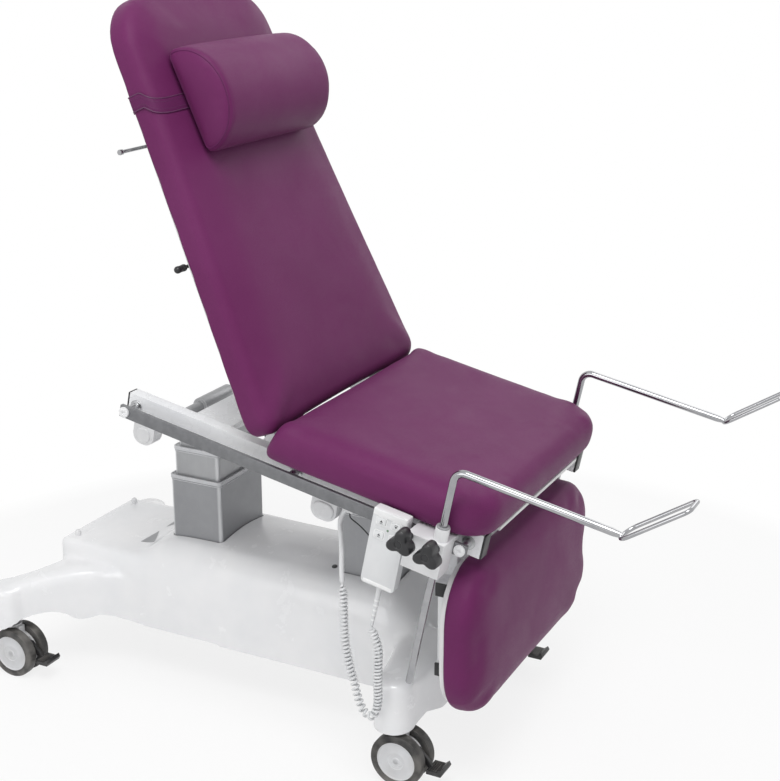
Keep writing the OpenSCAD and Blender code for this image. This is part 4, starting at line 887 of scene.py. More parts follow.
def upholstered(name, node, rings, spot, voxel, flat, cap, fill=0.85, relax=12):
    """A cushion from its rings in its own plane: one skin, stuffed, relaxed and put in its place."""
    form = lofted([[tuple(c * MM for c in p) for p in ring] for ring in rings])
    made = as_object(name, joined([form]), 180)
    skin = made.modifiers.new("skin", "REMESH")
    skin.mode, skin.voxel_size = "VOXEL", voxel * MM
    settle(made, 180)
    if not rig.quick():
        stuffed(made, flat, cap)
    ease = made.modifiers.new("relax", "SMOOTH")
    ease.factor, ease.iterations = 0.5, relax
    finer = made.modifiers.new("finer", "SUBSURF")
    finer.levels = finer.render_levels = 1
    settle(made, 180)
    moved_to(made, [spot(p / MM) for p in coordinates(made.data)])
    dress(made, PLUM, node)
    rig.padded(made, fill)
    return made


def surface_of(*pieces):
    """Search tree over the faces of some pieces."""
    points, faces = [], []
    for one in pieces:
        first = len(points)
        points += [v.co.copy() for v in one.data.vertices]
        faces += [[first + i for i in f.vertices] for f in one.data.polygons]
    return BVHTree.FromPolygons(points, faces)


def grower(name, inputs, output):
    """An empty geometry group with named inputs and one output, and its two ends."""
    tree = bpy.data.node_groups.new(name, "GeometryNodeTree")
    for label, kind, value in inputs:
        socket = tree.interface.new_socket(label, in_out="INPUT", socket_type="NodeSocket" + kind)
        if value is not None:
            socket.default_value = value
    tree.interface.new_socket(output, in_out="OUTPUT", socket_type="NodeSocketGeometry")
    given = tree.nodes.new("NodeGroupInput").outputs
    return tree, given, tree.nodes.new("NodeGroupOutput").inputs[output]


def planted(tree, given, gives, points, form, **inputs):
    """Ends a geometry group: the form at each of the points, as plain mesh with the group's finish."""
    rows = node_in(tree, "GeometryNodeInstanceOnPoints", {"Points": points, "Instance": form, **inputs})
    real = node_in(tree, "GeometryNodeRealizeInstances", {0: rows.outputs[0]})
    painted = node_in(tree, "GeometryNodeSetMaterial", {"Geometry": real.outputs[0],
                                                        "Material": given["Finish"]})
    tree.links.new(painted.outputs[0], gives)
    return tree


def stitch_row():
    """Stitches along a line of edges: short rounded threads, one after the other."""
    tree, given, gives = grower("stitch row", (
        ("Line", "Geometry", None), ("Spacing", "Float", 0.004), ("Length", "Float", 0.0028),
        ("Thread", "Float", 0.0007), ("Finish", "Material", None)), "Stitches")
    line = node_in(tree, "GeometryNodeMeshToCurve", {0: given["Line"]})
    marks = node_in(tree, "GeometryNodeCurveToPoints", {
        "Curve": line.outputs[0], "Length": given["Spacing"]}, mode="LENGTH")
    thread = node_in(tree, "GeometryNodeMeshUVSphere", {"Segments": 6, "Rings": 5,
                                                        "Radius": given["Thread"]})
    half = maths(tree, "MULTIPLY", maths(tree, "DIVIDE", given["Length"], given["Thread"]), 0.5)
    size = place(tree, "CombineXYZ", {0: 1.0, 1: 1.0, 2: half})
    return planted(tree, given, gives, marks.outputs["Points"], thread.outputs[0],
                   Rotation=marks.outputs["Rotation"], Scale=size.outputs[0])


def screw_row():
    """Round head screws at the points of a mesh, each turned to the same direction."""
    tree, given, gives = grower("screw row", (
        ("Places", "Geometry", None), ("Head radius", "Float", 0.004), ("Head height", "Float", 0.0022),
        ("Facing", "Vector", (0, 0, 1)), ("Finish", "Material", None)), "Screws")
    radius, height = given["Head radius"], given["Head height"]
    head = node_in(tree, "GeometryNodeMeshCone", {
        "Vertices": 20, "Radius Bottom": radius, "Radius Top": maths(tree, "MULTIPLY", radius, 0.62),
        "Depth": height})
    recess = node_in(tree, "GeometryNodeMeshCylinder", {
        "Vertices": 6, "Radius": maths(tree, "MULTIPLY", radius, 0.42), "Depth": height})
    lift = place(tree, "CombineXYZ", {2: height})
    raised = node_in(tree, "GeometryNodeTransform", {"Geometry": recess.outputs[0],
                                                     "Translation": lift.outputs[0]})
    hollow = node_in(tree, "GeometryNodeMeshBoolean", {0: head.outputs[0], 1: raised.outputs[0]},
                     operation="DIFFERENCE")
    turn = node_in(tree, "FunctionNodeAlignRotationToVector", {"Vector": given["Facing"]}, axis="Z")
    return planted(tree, given, gives, given["Places"], hollow.outputs[0], Rotation=turn.outputs[0])


STITCH_ROW = stitch_row()
SCREW_ROW = screw_row()


def grown(name, tree, points, edges, values, node, material, slot=None):
    """A plain mesh that a geometry tree grows on some points or edges."""
    mesh = bpy.data.meshes.new(name)
    mesh.from_pydata([tuple(p) for p in points], edges, [])
    made = linked(name, mesh)
    grow = made.modifiers.new("grown", "NODES")
    grow.node_group = tree
    for item in tree.interface.items_tree:
        if item.in_out == "INPUT" and item.name in values:
            grow[item.identifier] = values[item.name]
        elif item.in_out == "INPUT" and item.name == "Finish":
            grow[item.identifier] = material
    settle(made, 40)
    return dress(made, material, node, False, slot)


def stitches(name, points, node, spacing=4.5, length=3.2, thread=0.6):
    return grown(name, STITCH_ROW, points, [(i, i + 1) for i in range(len(points) - 1)],
                 {"Spacing": spacing * MM, "Length": length * MM, "Thread": thread * MM},
                 node, PLUM_THREAD, "leatherette")


def screws(name, points, facing, node, radius=4.0, height=2.4, material=None, slot=None):
    return grown(name, SCREW_ROW, points, [], {"Head radius": radius * MM, "Head height": height * MM,
                                               "Facing": tuple(facing)}, node, material or PIN_STEEL, slot)


def seat_cushion():
    rings = pad_rings(half0=347, half1=347, y0=-20, y1=518, r0=88, r1=30, z0=54, z1=142,
                      low_r=28, top_r=38, slope=0.4545, inset=-7, end_r=12)
    rings = [[(x, y, min(z, SEAT_TOP)) for x, y, z in ring] for ring in rings]
    return upholstered("seat_cushion_cover", "seat_cushion", rings, on_frame, voxel=7, flat=58, cap=7)


def back_cushion():
    """Its lower end leans over the seat cushion, and is drawn in below."""
    low_end, board_z = 13, -14
    rings = pad_rings(half0=353, half1=282, y0=low_end, y1=980, r0=35, r1=120, z0=board_z, z1=59,
                      low_r=12, top_r=26, inset=-6)

    def leaned(x, y, z):
        lean = 0.1 * (z - board_z) * max(0, 1 - (y - low_end) / 120)
        drawn = 3.4 * clamped((45 - z) / 12) * clamped(1 - (y - low_end) / 60)
        return x, y - lean - drawn, z - PAD_SUNK * (z > 40)

    rings = [[leaned(*p) for p in ring] for ring in rings]
    return upholstered("back_cushion_cover", "back_cushion", rings, on_back, voxel=8.6, flat=-10, cap=7)


def leg_cushion():
    rings = pad_rings(half0=356, half1=356, y0=-424, y1=-68, r0=122, r1=122, z0=-15, z1=55,
                      low_r=12, top_r=32, inset=-3.5)
    rings = [[(x, y, z - PAD_SUNK * (z > 30)) for x, y, z in ring] for ring in rings]
    return upholstered("leg_cushion_cover", "leg_cushion", rings, on_leg, voxel=7, flat=-11, cap=7)


PILLOW_SHARES = [[-1, 0.6], [-0.98, 0.84], [-0.95, 0.95], [-0.9, 0.99], [-0.5, 1], [0, 1],
                 [0.5, 1], [0.9, 0.99], [0.95, 0.95], [0.98, 0.84], [1, 0.6]]
PILLOW_S, PILLOW_Z, PILLOW_H, PILLOW_T, PILLOW_HALF, PILLOW_R = 723, 69.7, 236, 112, 222, 11


def pillow_ring(row, inset=0.0):
    half, flat = PILLOW_H / 2 - inset, []
    low, thick = PILLOW_Z + inset / 2, PILLOW_T - inset
    for k in range(7):
        a = math.radians(270 + 15 * k)
        flat.append((PILLOW_S + half - PILLOW_R + PILLOW_R * math.cos(a),
                     low + PILLOW_R * (1 + math.sin(a))))
    for k in range(1, 40):
        a = math.pi * k / 40
        flat.append((PILLOW_S + half * math.cos(a), low + PILLOW_R + (thick - PILLOW_R) * math.sin(a)))
    for k in range(7):
        a = math.radians(180 + 15 * k)
        flat.append((PILLOW_S - half + PILLOW_R + PILLOW_R * math.cos(a),
                     low + PILLOW_R * (1 + math.sin(a))))
    middle = (PILLOW_S, PILLOW_Z + PILLOW_T / 2)
    return [((PILLOW_HALF - inset) * row[0], middle[0] + (s - middle[0]) * row[1],
             middle[1] + (z - middle[1]) * row[1]) for s, z in flat]


def pillow():
    """The neck roll, a welt round each end panel and a row of stitches beside it."""
    rings = [pillow_ring(row, 1) for row in smooth_through(PILLOW_SHARES, 3)]
    skin = surface_of(upholstered("pillow_cover", "pillow", rings, on_back, voxel=5.5, flat=PILLOW_Z + 5,
                                  cap=6, fill=0.9, relax=4))
    for side, sign in SIDES.items():
        rim = [skin.find_nearest(on_back(p))[0] for p in pillow_ring((sign * 0.975, 0.93), 2)]
        rim.append(rim[0])
        piece("pillow_welt_" + side, [swept(rim, 1.7 * MM, 8)], PLUM_STRAP, "pillow", False, 60)
        row = [skin.find_nearest(on_back(p))[0] for p in pillow_ring((sign * 0.925, 0.985), 1)]
        stitches("pillow_stitches_" + side, row, "pillow")


# Strap round the back cushion: its edges along the back, its columns between them and how far it
# stands off at each, and how far it slants down over the front
STRAP_LOW, STRAP_HIGH, STRAP_STEPS, STRAP_SLANT = 741, 775, 160, 28
STRAP_COLUMNS = (STRAP_LOW, STRAP_LOW + 1.2, STRAP_LOW + 9, (STRAP_LOW + STRAP_HIGH) / 2,
                 STRAP_HIGH - 9, STRAP_HIGH - 1.2, STRAP_HIGH)
STRAP_LIFTS = (2.0, 2.9, 3.1, 3.1, 3.1, 2.9, 2.0)
STRAP_UNDERSIDE = 0.5


def strap_row(skin, a):
    """Points on the skin across the strap at an angle round the back, each with the way out of it."""
    across, out = math.cos(a), math.sin(a) * 0.35
    drop = STRAP_SLANT * eased(clamped((math.sin(a) + 0.02) / 0.7))
    row = []
    for column in STRAP_COLUMNS:
        core = on_back((across * 200, column - drop, 20))
        far = on_back((across * 900, column - drop, 20 + out * 900))
        hit = skin.ray_cast(far, (core - far).normalized())[0] or core
        row.append((hit, (far - core).normalized()))
    return row


def pillow_strap(back):
    """The strap lies on the back cushion and passes behind its board."""
    skin = surface_of(back, NODES["back_board"])
    rows = [strap_row(skin, 2 * math.pi * k / STRAP_STEPS) for k in range(STRAP_STEPS)]
    points = []
    for row in rows:
        points += [tuple(hit + out * lift * MM) for (hit, out), lift in zip(row, STRAP_LIFTS)]
        points += [tuple(hit + out * STRAP_UNDERSIDE * MM) for hit, out in reversed(row)]
    piece("pillow_strap_band", [(points, wrapped(STRAP_STEPS, 2 * len(STRAP_COLUMNS)))], PLUM_STRAP,
          "pillow_strap", angle=50)

    def along(column, lift):
        return [row[column][0] + row[column][1] * lift * MM for row in rows]

    for name, column in (("low", 1), ("high", 5)):
        edge = along(column, 2.6)
        piece("pillow_strap_piping_" + name, [swept(edge + edge[:1], 1.5 * MM, 8)], PLUM_THREAD,
              "pillow_strap", False, 60)
    for name, column in (("low", 2), ("high", 4)):
        line = along(column, 3.2)
        stitches("pillow_strap_stitches_" + name, line[::2] + [line[0]], "pillow_strap", 4, 2.8, 0.5)


seat_cushion()
BACK = back_cushion()
leg_cushion()
pillow()
pillow_strap(BACK)


# Moulded base cover
COVER_H, COVER_HALF, COVER_WALL = 382, 170, 4
SPINE_Y0, SPINE_Y1 = FRONT_STEM_Y - 78, REAR_STEM_Y - 53
LEG_RUN, BOSS_R, COVER_LOW, BOSS_LOW = 328, 47, 136, 132
SINK = 46
POCKET_FLOOR, POCKET_TOP, POCKET_GAP = 300, 460, 2.4
COLUMN_W, COLUMN_D, COLUMN_R = 194, 143, 10
SPINE_SHARES = [
    [1, 0.88, 0.686, 0.865, 0.812, 0.815], [0.986, 0.9, 0.69, 0.875, 0.825, 0.828],
    [0.896, 0.94, 0.7, 0.86, 0.83, 0.833], [0.805, 0.99, 0.7, 0.825, 0.838, 0.843],
    [0.769, 1, 0.686, 0.765, 0.864, 0.877], [0.719, 1, 0.654, 0.62, 0.948, 0.974],
    [0.606, 1, 0.64, 0.58, 0.969, 0.99], [0.497, 1, 0.628, 0.57, 0.963, 1],
    [0.352, 1, 0.628, 0.57, 0.958, 0.995], [0.18, 1, 0.628, 0.59, 0.948, 0.974],
    [0.139, 1, 0.615, 0.615, 0.903, 0.93], [0.08, 0.97, 0.563, 0.645, 0.76, 0.785],
    [0.034, 0.88, 0.5, 0.645, 0.615, 0.64], [0, 0.72, 0.44, 0.53, 0.51, 0.525]]
FRONT_LEG_SHARES = [
    [0.37, -1.53, 0.37, 1.6, 0.356, 0.76], [0.59, -1.32, 0.59, 1.32, 0.335, 0.71],
    [0.8, -1.06, 0.8, 1.06, 0.382, 0.68], [1, -0.94, 1, 0.94, 0.353, 0.655]]
REAR_LEG_SHARES = [
    [0.56, -1, 0.2, -0.94, 0.356, 0.686], [0.583, -0.82, 0.2, -0.57, 0.393, 0.722],
    [0.644, -0.634, 0.254, -0.39, 0.393, 0.722], [0.786, -0.436, 0.39, -0.253, 0.372, 0.712],
    [0.922, -0.268, 0.56, -0.162, 0.432, 0.686], [1.034, -0.14, 0.729, -0.055, 0.419, 0.654],
    [1.13, -0.01, 0.88, 0.11, 0.346, 0.615]]


def spine_ring(row):
    y = SPINE_Y0 + (SPINE_Y1 - SPINE_Y0) * row[0]
    half, deck = COVER_HALF * row[1], COVER_HALF * row[3]
    side, edge, crown = COVER_H * row[2], COVER_H * row[4], COVER_H * row[5]
    right = [(half, COVER_LOW - SINK)]
    right += [(deck + (half - deck) * math.cos(a), side + (edge - side) * math.sin(a))
              for a in (math.radians(11.25 * k) for k in range(9))]
    right += [(deck * (1 - k / 6), edge + (crown - edge) * math.sin(math.radians(15 * k)))
              for k in range(1, 6)]
    return [on_floor((x, y, z)) for x, z in right + [(0, crown)] + [(-x, z) for x, z in right[::-1]]]


def leg_ring(row, run, stem_y, sign):
    a = np.array([row[0] * STEM_X, stem_y + row[1] * run])
    b = np.array([row[2] * STEM_X, stem_y + row[3] * run])
    low, top = COVER_H * row[4] - SINK, COVER_H * row[5]
    turns = [math.radians(15 * k) for k in range(7)]
    profile = [(0, low), (1, low)]
    profile += [(1 - 0.26 * (1 - math.cos(t)), top - 26 * (1 - math.sin(t))) for t in turns]
    profile += [(0.26 * (1 - math.sin(t)), top - 26 * (1 - math.cos(t))) for t in turns]
    return [on_floor((sign * (a[0] + (b[0] - a[0]) * s), a[1] + (b[1] - a[1]) * s, z))
            for s, z in profile]


def boss(stem_y, top, sign):
    turns = [math.radians(15 * k) for k in range(7)]
    profile = [(BOSS_LOW - SINK, 0), (BOSS_LOW - SINK, BOSS_R)]
    profile += [(top - 16 * (1 - math.sin(t)), BOSS_R - 16 * (1 - math.cos(t))) for t in turns]
    profile.append((top, 0))
    return turned(profile, 48, lambda p: on_floor((sign * STEM_X + p[0], stem_y + p[1], p[2])), "z")


def open_edge(x, y):
    """Height of the open lower edge of the cover at places on the floor."""
    x = np.abs(x)
    front = np.interp(x / STEM_X, (0.37, 0.59, 0.8, 1, 1.14), (136, 128, 146, 135, 132))
    line = np.array(smooth_through([
        [(r[0] + r[2]) / 2 * STEM_X, REAR_STEM_Y + (r[1] + r[3]) / 2 * LEG_RUN, r[4] * COVER_H]
        for r in REAR_LEG_SHARES], 10))
    nearest = np.argmin((x[:, None] - line[:, 0]) ** 2 + (y[:, None] - line[:, 1]) ** 2, axis=1)
    leg = np.where(y > (FRONT_STEM_Y + REAR_STEM_Y) / 2, line[nearest, 2], front)
    return COVER_LOW + (leg - COVER_LOW) * eased(np.clip((x - 138) / 60, 0, 1))


def base_cover():
    parts = [lofted([spine_ring(row) for row in smooth_through(SPINE_SHARES, 5)])]
    for sign in SIDES.values():
        for shares, run, y, share in ((FRONT_LEG_SHARES, BOSS_R, FRONT_STEM_Y, 0.66),
                                      (REAR_LEG_SHARES, LEG_RUN, REAR_STEM_Y, 0.62)):
            parts.append(lofted([leg_ring(row, run, y, sign) for row in smooth_through(shares, 6)]))
            parts.append(boss(y, COVER_H * share, sign))
    made = as_object("base_cover_shell", joined(parts), 180)
    skin = made.modifiers.new("skin", "REMESH")
    skin.mode, skin.voxel_size = "VOXEL", 6.5 * MM
    ease = made.modifiers.new("ease", "SMOOTH")
    ease.factor, ease.iterations = 0.5, 9
    cutters = []
    for y in (FRONT_COLUMN_Y, REAR_COLUMN_Y):
        outline = round_outline(COLUMN_W, COLUMN_D, COLUMN_R, POCKET_GAP)
        cutter = as_object("cut", joined([lofted([[on_floor((x, y + d, z)) for x, d in outline]
                                                  for z in (POCKET_FLOOR, POCKET_TOP)])]))
        cut = made.modifiers.new("pocket", "BOOLEAN")
        cut.operation, cut.solver, cut.object = "DIFFERENCE", "MANIFOLD", cutter
        cutters.append(cutter)
    settle(made)
    for cutter in cutters:
        bpy.data.objects.remove(cutter)
    points = coordinates(made.data) / MM
    low = open_edge(points[:, 0], points[:, 1] + CENTRE_Y)
    work = bmesh.new()
    work.from_mesh(made.data)
    gone = []
    for face in work.faces:
        floor = abs(face.calc_center_median().z - POCKET_FLOOR * MM) < 1e-4 and face.normal.z > 0.9
        if floor or all(v.co.z / MM < low[v.index] for v in face.verts):
            gone.append(face)
    for v in work.verts:
        v.co.z = max(v.co.z, low[v.index] * MM)
    bmesh.ops.delete(work, geom=gone, context="FACES")
    bmesh.ops.delete(work, geom=[v for v in work.verts if not v.link_faces], context="VERTS")
    work.to_mesh(made.data)
    work.free()
    shell = made.modifiers.new("wall", "SOLIDIFY")
    shell.thickness, shell.offset = COVER_WALL * MM, -1
    settle(made, 40)
    return dress(made, COVER_WHITE, "base_cover")


def laid(corners, skin, lift, steps=10):
    """Thin plate over a triangle of the floor plan, following the surface below it."""
    a, b, c = (np.array(p, float) for p in corners)
    rows, points = [], []
    for i in range(steps + 1):
        rows.append(len(points))
        for j in range(steps + 1 - i):
            p = a + (b - a) * i / steps + (c - a) * j / steps
            hit = skin.ray_cast(on_floor((p[0], p[1], 500)), Vector((0, 0, -1)))[0]
            points.append(hit + Vector((0, 0, lift * MM)))
    faces = []
    for i in range(steps):
        for j in range(steps - i):
            faces.append((rows[i] + j, rows[i + 1] + j, rows[i] + j + 1))
            if j < steps - i - 1:
                faces.append((rows[i] + j + 1, rows[i + 1] + j, rows[i + 1] + j + 1))
    count = len(points)
    rim = (rows[:steps + 1] + [rows[i] + steps - i for i in range(steps - 1, 0, -1)]
           + list(range(steps, 0, -1)))
    under = [p - Vector((0, 0, 2 * lift * MM)) for p in points]
    faces += [tuple(count + k for k in f[::-1]) for f in faces]
    faces += [(rim[k], rim[(k + 1) % len(rim)], count + rim[(k + 1) % len(rim)], count + rim[k])
              for k in range(len(rim))]
    return [tuple(p) for p in points + under], faces


def cover_details(cover):
    """Locating pegs on the rear deck, painted shade beside the rear column as thin dark plates, and a blanking plug.
    """
    skin = surface_of(cover)
    peg = [(309, 0), (309, 8), (325, 7.4), (328.6, 6), (330.6, 3.4), (331.2, 0)]
    piece("cover_pegs", [turned(peg, 32, lambda p: on_floor((sign * 118.5 + p[0], 1184 + p[1], p[2])), "z")
                         for sign in SIDES.values()], CASTER_WHITE, "base_cover", False)
    # Painted shade: thin dark grey plates laid on the deck beside the rear column, where the gap there lies in shadow.
    piece("cover_recesses", [laid([(sign * 88, 1010), (sign * 88, 968), (sign * 16, 1006)], skin, 0.7)
                             for sign in SIDES.values()], COLUMN_GREY, "base_cover", False)
    plug = [(-4, 0), (-4, 6.4), (0.9, 6.4), (1.7, 5.8), (2, 4.6), (2, 0)]
    piece("cover_plugs", [turned(plug, 32, lambda p: on_floor((sign * (86 + p[0]), 454 + p[1],
                                                               368.4 + p[2] - 0.2 * p[0])), "z")
                          for sign in SIDES.values()], BLACK_SATIN, "base_cover", False)


cover_details(base_cover())
softened("base_chassis", "base_chassis_steel", CHASSIS_GREY, 2.5, 2)


# Casters: twin wheels with rubber tyres and pale discs, a drum between them and a brake pedal
CASTERS = {"fr": (-1, FRONT_STEM_Y), "fl": (1, FRONT_STEM_Y),
           "rr": (-1, REAR_STEM_Y), "rl": (1, REAR_STEM_Y)}
WHEEL_R, TRAIL = 62.5, 20
TYRE_PROFILE = [(11.2, 45.5), (10.2, 47), (10, 55), (10.4, 58.6), (11.8, 61.2), (14.4, 62.4), (17, 62.5),
                (29, 62.5), (31.6, 62.4), (34.2, 61.2), (35.6, 58.6), (36, 55.6), (36, 51.4), (35.3, 50.6),
                (35.3, 49.6), (36, 48.8), (36, 47.2), (35, 45.5)]
DISC_PROFILE = [(10.4, 0), (10.4, 46), (34.6, 46), (35, 45.4), (34.6, 44), (33.2, 42.6), (32.8, 41),
                (33.1, 30), (34.2, 24), (35, 21), (35, 19), (34.3, 18.2), (34.3, 10.4), (35, 9.6),
                (35.6, 9), (35.7, 7), (35.7, 0)]


def caster(code, sx, stem_y):
    def spot(p):
        return on_floor((sx * STEM_X + p[0], stem_y - TRAIL + p[1], WHEEL_R + p[2]))

    def mirrored(p):
        return spot((-p[0], p[1], p[2]))

    wheels = "caster_wheels_" + code
    piece("caster_tyres_" + code, [hoop(TYRE_PROFILE, 96, spot), hoop(TYRE_PROFILE, 96, mirrored)],
          TYRE_BLACK, wheels)
    piece("caster_discs_" + code, [turned(DISC_PROFILE, 72, spot), turned(DISC_PROFILE, 72, mirrored)],
          CASTER_GREY, wheels, False)
    softened("caster_housing_" + code, "caster_drum_" + code, CASTER_WHITE, 1.2)
    softened("brake_pedal_" + code, "brake_pedal_arm_" + code, BLACK_SATIN, 2.2, 3)
    ribs = [rounded_block((-20, y - 1.1, -8), (20, y + 1.1, -6.4), 0.7, spot, 2)
            for y in (-74, -79, -84, -89)]
    piece("brake_pedal_grip_" + code, ribs, TYRE_BLACK, "brake_pedal_" + code, False)


for code, (sx, stem_y) in CASTERS.items():
    caster(code, sx, stem_y)


# Columns, each tube with a light collar round its upper end
def column(name, y, tops):
    steps = (("outer", COLUMN_W, COLUMN_D, COLUMN_GREY),
             ("middle", COLUMN_W - 16, COLUMN_D - 16, COLUMN_INNER))
    for (stage, w, d, material), top in zip(steps, tops):
        node = name + "_column_" + stage
        softened(node, node + "_tube", material, 1.2, 3)
        for label, z0, z1, out in (("collar", top - 8.5, top + 0.8, 2.4),
                                   ("lip", top - 13, top - 10.4, 1.2)):
            profile = [(-0.8, z0), (out - 0.8, z0), (out, z0 + 0.8), (out, z1 - 0.9), (out - 0.9, z1),
                       (-0.8, z1)]
            piece(node + "_" + label, [banded(lambda g, w=w, d=d: round_outline(w, d, COLUMN_R, g), profile,
                                              lambda p: on_floor((p[0], y + p[1], p[2])))],
                  COLLAR_LIGHT, node, False)
    node = name + "_column_inner"
    softened(node, node + "_tube", COLUMN_INNER, 1.2, 3)


column("front", FRONT_COLUMN_Y, (525, 555))
column("rear", REAR_COLUMN_Y, (525, 597))


# Frame with its rails, boards, hinge pins, control box, gland and cable
RAIL_OUT_X, RAIL_W = 335, 27
SHAFT_W = -35


def direction(spot, v):
    return (spot(v) - spot((0, 0, 0))).normalized()


def rail_cover(name, sign, u):
    """White cover disc over a rail screw, with its hexagon recess."""
    profile = [(RAIL_OUT_X - 0.4, 0), (RAIL_OUT_X - 0.4, 12.5), (338.6, 12.5), (339.6, 12), (340, 11),
               (340, 5), (339.7, 4.6), (337.4, 4.5), (337.4, 0)]
    piece(name, [turned(profile, 40, lambda p: on_frame((sign * p[0], u + p[1], RAIL_W + p[2])))],
          CLAMP_WHITE, "rail_fixings", False)


def bearing_cover(name, sign, u0, u1):
    """Moulded cover over the open end of a bearing block, long where the shaft moves along its slot."""
    rings = []
    for x, r in ((289.6, 19), (291.4, 19), (292.6, 18.2), (293.4, 16.4), (293.6, 14), (293.2, 11),
                 (292.9, 8)):
        ring = []
        for u, first in ((u1, -90), (u0, 90)):
            for k in range(25):
                a = math.radians(first + 7.5 * k)
                ring.append(on_frame((sign * x, u + r * math.cos(a), SHAFT_W + r * math.sin(a))))
        rings.append(ring)
    if u0 == u1:
        rings = [ring[:24] + ring[25:49] for ring in rings]
    piece(name, [lofted(rings)], CASTER_WHITE, "bearing_blocks", False)


def frame_parts():
    softened("main_frame", "main_frame_steel", ENAMEL_WHITE, 2.2, 3)
    softened("beam_end_caps", "beam_caps", BLACK_SATIN, 1.6, 3)
    softened("bearing_blocks", "bearing_block_pair", CASTER_WHITE, 1.6, 3)
    for side, sign in SIDES.items():
        bearing_cover("bearing_cover_rear_" + side, sign, 842, 842)
        bearing_cover("bearing_cover_front_" + side, sign, 358.4, 373.4)
    softened("hinge_pins", "hinge_pin_set", PIN_STEEL, 0.8, 2)
    softened("side_rails", "accessory_rails", RAIL_STEEL, 1.2, 3)
    softened("rail_fixings", "rail_posts", PIN_STEEL, 0.7, 2, keep=lambda p: abs(p.x) < 0.33)
    for side, sign in SIDES.items():
        rail_cover("rail_cover_front_" + side, sign, 29)
        rail_cover("rail_cover_rear_" + side, sign, 869)
    softened("seat_board", "seat_board_panel", BOARD_WHITE, 1.6, 3)
    under = direction(on_frame, (0, 0, -1))
    screws("seat_board_screws", [on_frame((x, u, 43.9)) for x in (-215, 215) for u in (75, 340, 430)],
           under, "seat_board", slot=SLOTS["hinge_pins"])
    softened("control_box", "control_box_case", CASTER_WHITE, 2.5, 3)
    vents = [rounded_block((x, 212, 5), (x + 7, 273, 7), 0.9, on_frame, 2) for x in range(-34, 140, 16)]
    piece("control_box_vents", vents, CASTER_WHITE, "control_box", False)


def cord_gland():
    """Block on the beam, the smooth sleeve of the cord that comes out of it, and the cable clip."""
    block = rounded_block((-290, 296, -18), (-260, 323, 0.2), 2.2, on_frame)
    lid = rounded_block((-287, 299.5, -19.2), (-263, 319.5, -16), 1.2, on_frame, 3)
    clip = rounded_block((-290, 150, -10), (-260, 166, 0.2), 1.8, on_frame)
    route = smooth_through([[-280, 313, 618], [-280, 326, 592], [-281, 329, 573], [-285, 325, 545],
                            [-292, 320, 512], [-300, 316, 478], [-305, 312, 452]], 8)
    radii = [5.5 * MM] * (len(route) - 2) + [5.2 * MM, 4.4 * MM]
    ends = [i for i in range(len(route) - 12, len(route) - 2, 3)]
    for i in ends:
        radii[i] = 6.1 * MM
    piece("cord_gland_body", [block, lid, clip, swept([on_floor(p) for p in route], radii, 20)],
          CASTER_WHITE, "cord_gland", angle=50)
    screws("cord_gland_screws", [on_frame((-275, 158, -9.9))], direction(on_frame, (0, 0, -1)),
           "cord_gland", 3.2, 1.6, slot=SLOTS["hinge_pins"])


frame_parts()
cord_gland()


# Back and leg sections below their cushions
def back_parts():
    softened("back_frame", "back_frame_tubes", CHASSIS_GREY, 2, 3)
    softened("back_board", "back_board_panel", BOARD_WHITE, 2, 3)
    behind = direction(on_back, (0, 0, -1))
    screws("back_board_screws", [on_back((x, s, -26.1)) for x in (-150, 150) for s in (90, 250, 500, 640)]
           + [on_back((x, s, -26.1)) for x in (-170, 170) for s in (830,)], behind, "back_board",
           slot=SLOTS["hinge_pins"])
    rod = [(-335, 0), (-335, 4.2), (-334, 5.6), (-332.6, 6), (-324.4, 6), (-323.2, 5.2), (-323, 4)]
    piece("roll_rod_bar", [turned(rod + [(-a, r) for a, r in rod[::-1]], 32,
                                  lambda p: on_back((p[0], 675 + p[1], -52 + p[2])))], CHROME, "roll_rod")
    turns = [math.radians(15 * k) for k in range(7)]
    grip = [(-323 - 8 * math.cos(a), 8 * math.sin(a)) for a in turns] + [(-312, 7.2)]
    grip += [(-301 + 8 * math.sin(a), 8 * math.cos(a)) for a in turns[:5]]
    grip += [(-294.6, 4), (-202.5, 4), (-202.5, 0)]
    piece("release_lever_bar", [turned(grip, 32, lambda p: on_back((p[0], 403 + p[1], -36 + p[2])))],
          BLACK_SATIN, "release_lever")
    softened("gas_spring_body", "gas_spring_tube", BLACK_SATIN, 1, 2)
    softened("gas_spring_rod", "gas_spring_shaft", CHROME, 0.8, 2)


def leg_parts():
    softened("leg_frame", "leg_frame_tubes", ENAMEL_WHITE, 2, 3)
    softened("leg_tube_caps", "leg_caps", BLACK_SATIN, 1.4, 3)
    softened("leg_board", "leg_board_panel", BOARD_WHITE, 2, 3)
    screws("leg_board_screws", [on_leg((x, p, -27.1)) for x in (-210, 0, 210) for p in (-180, -270, -370)],
           direction(on_leg, (0, 0, -1)), "leg_board", slot=SLOTS["hinge_pins"])


back_parts()
leg_parts()


# Leg holders: clamps, bushes, lobed knobs and stirrups, each a rod that bends forward into an arm
ROD_X, ROD_U, ROD_R, BEND_R = 366, 63, 8, 24
ARM_W, ARM_END = 209, -289
LOOP_SLOPE = math.radians(135.5)
# Along the knob's axis: place, share of the three lobes, how far they draw in, radius where it is round
KNOB_ROWS = [(408, 0.5, 6, 8), (408, 1, 6, 0), (408.6, 1, 3.6, 0), (410.2, 1, 1.4, 0), (413, 1, 0, 0),
             (424, 1, -0.3, 0), (437, 1, 0.2, 0), (439.8, 1, 1.5, 0), (441.4, 1, 3.6, 0), (442, 1, 6.4, 0),
             (442, 0.4, 6, 9), (442, 0, 0, 8.6), (441.4, 0, 0, 8), (440.6, 0, 0, 7.8)]


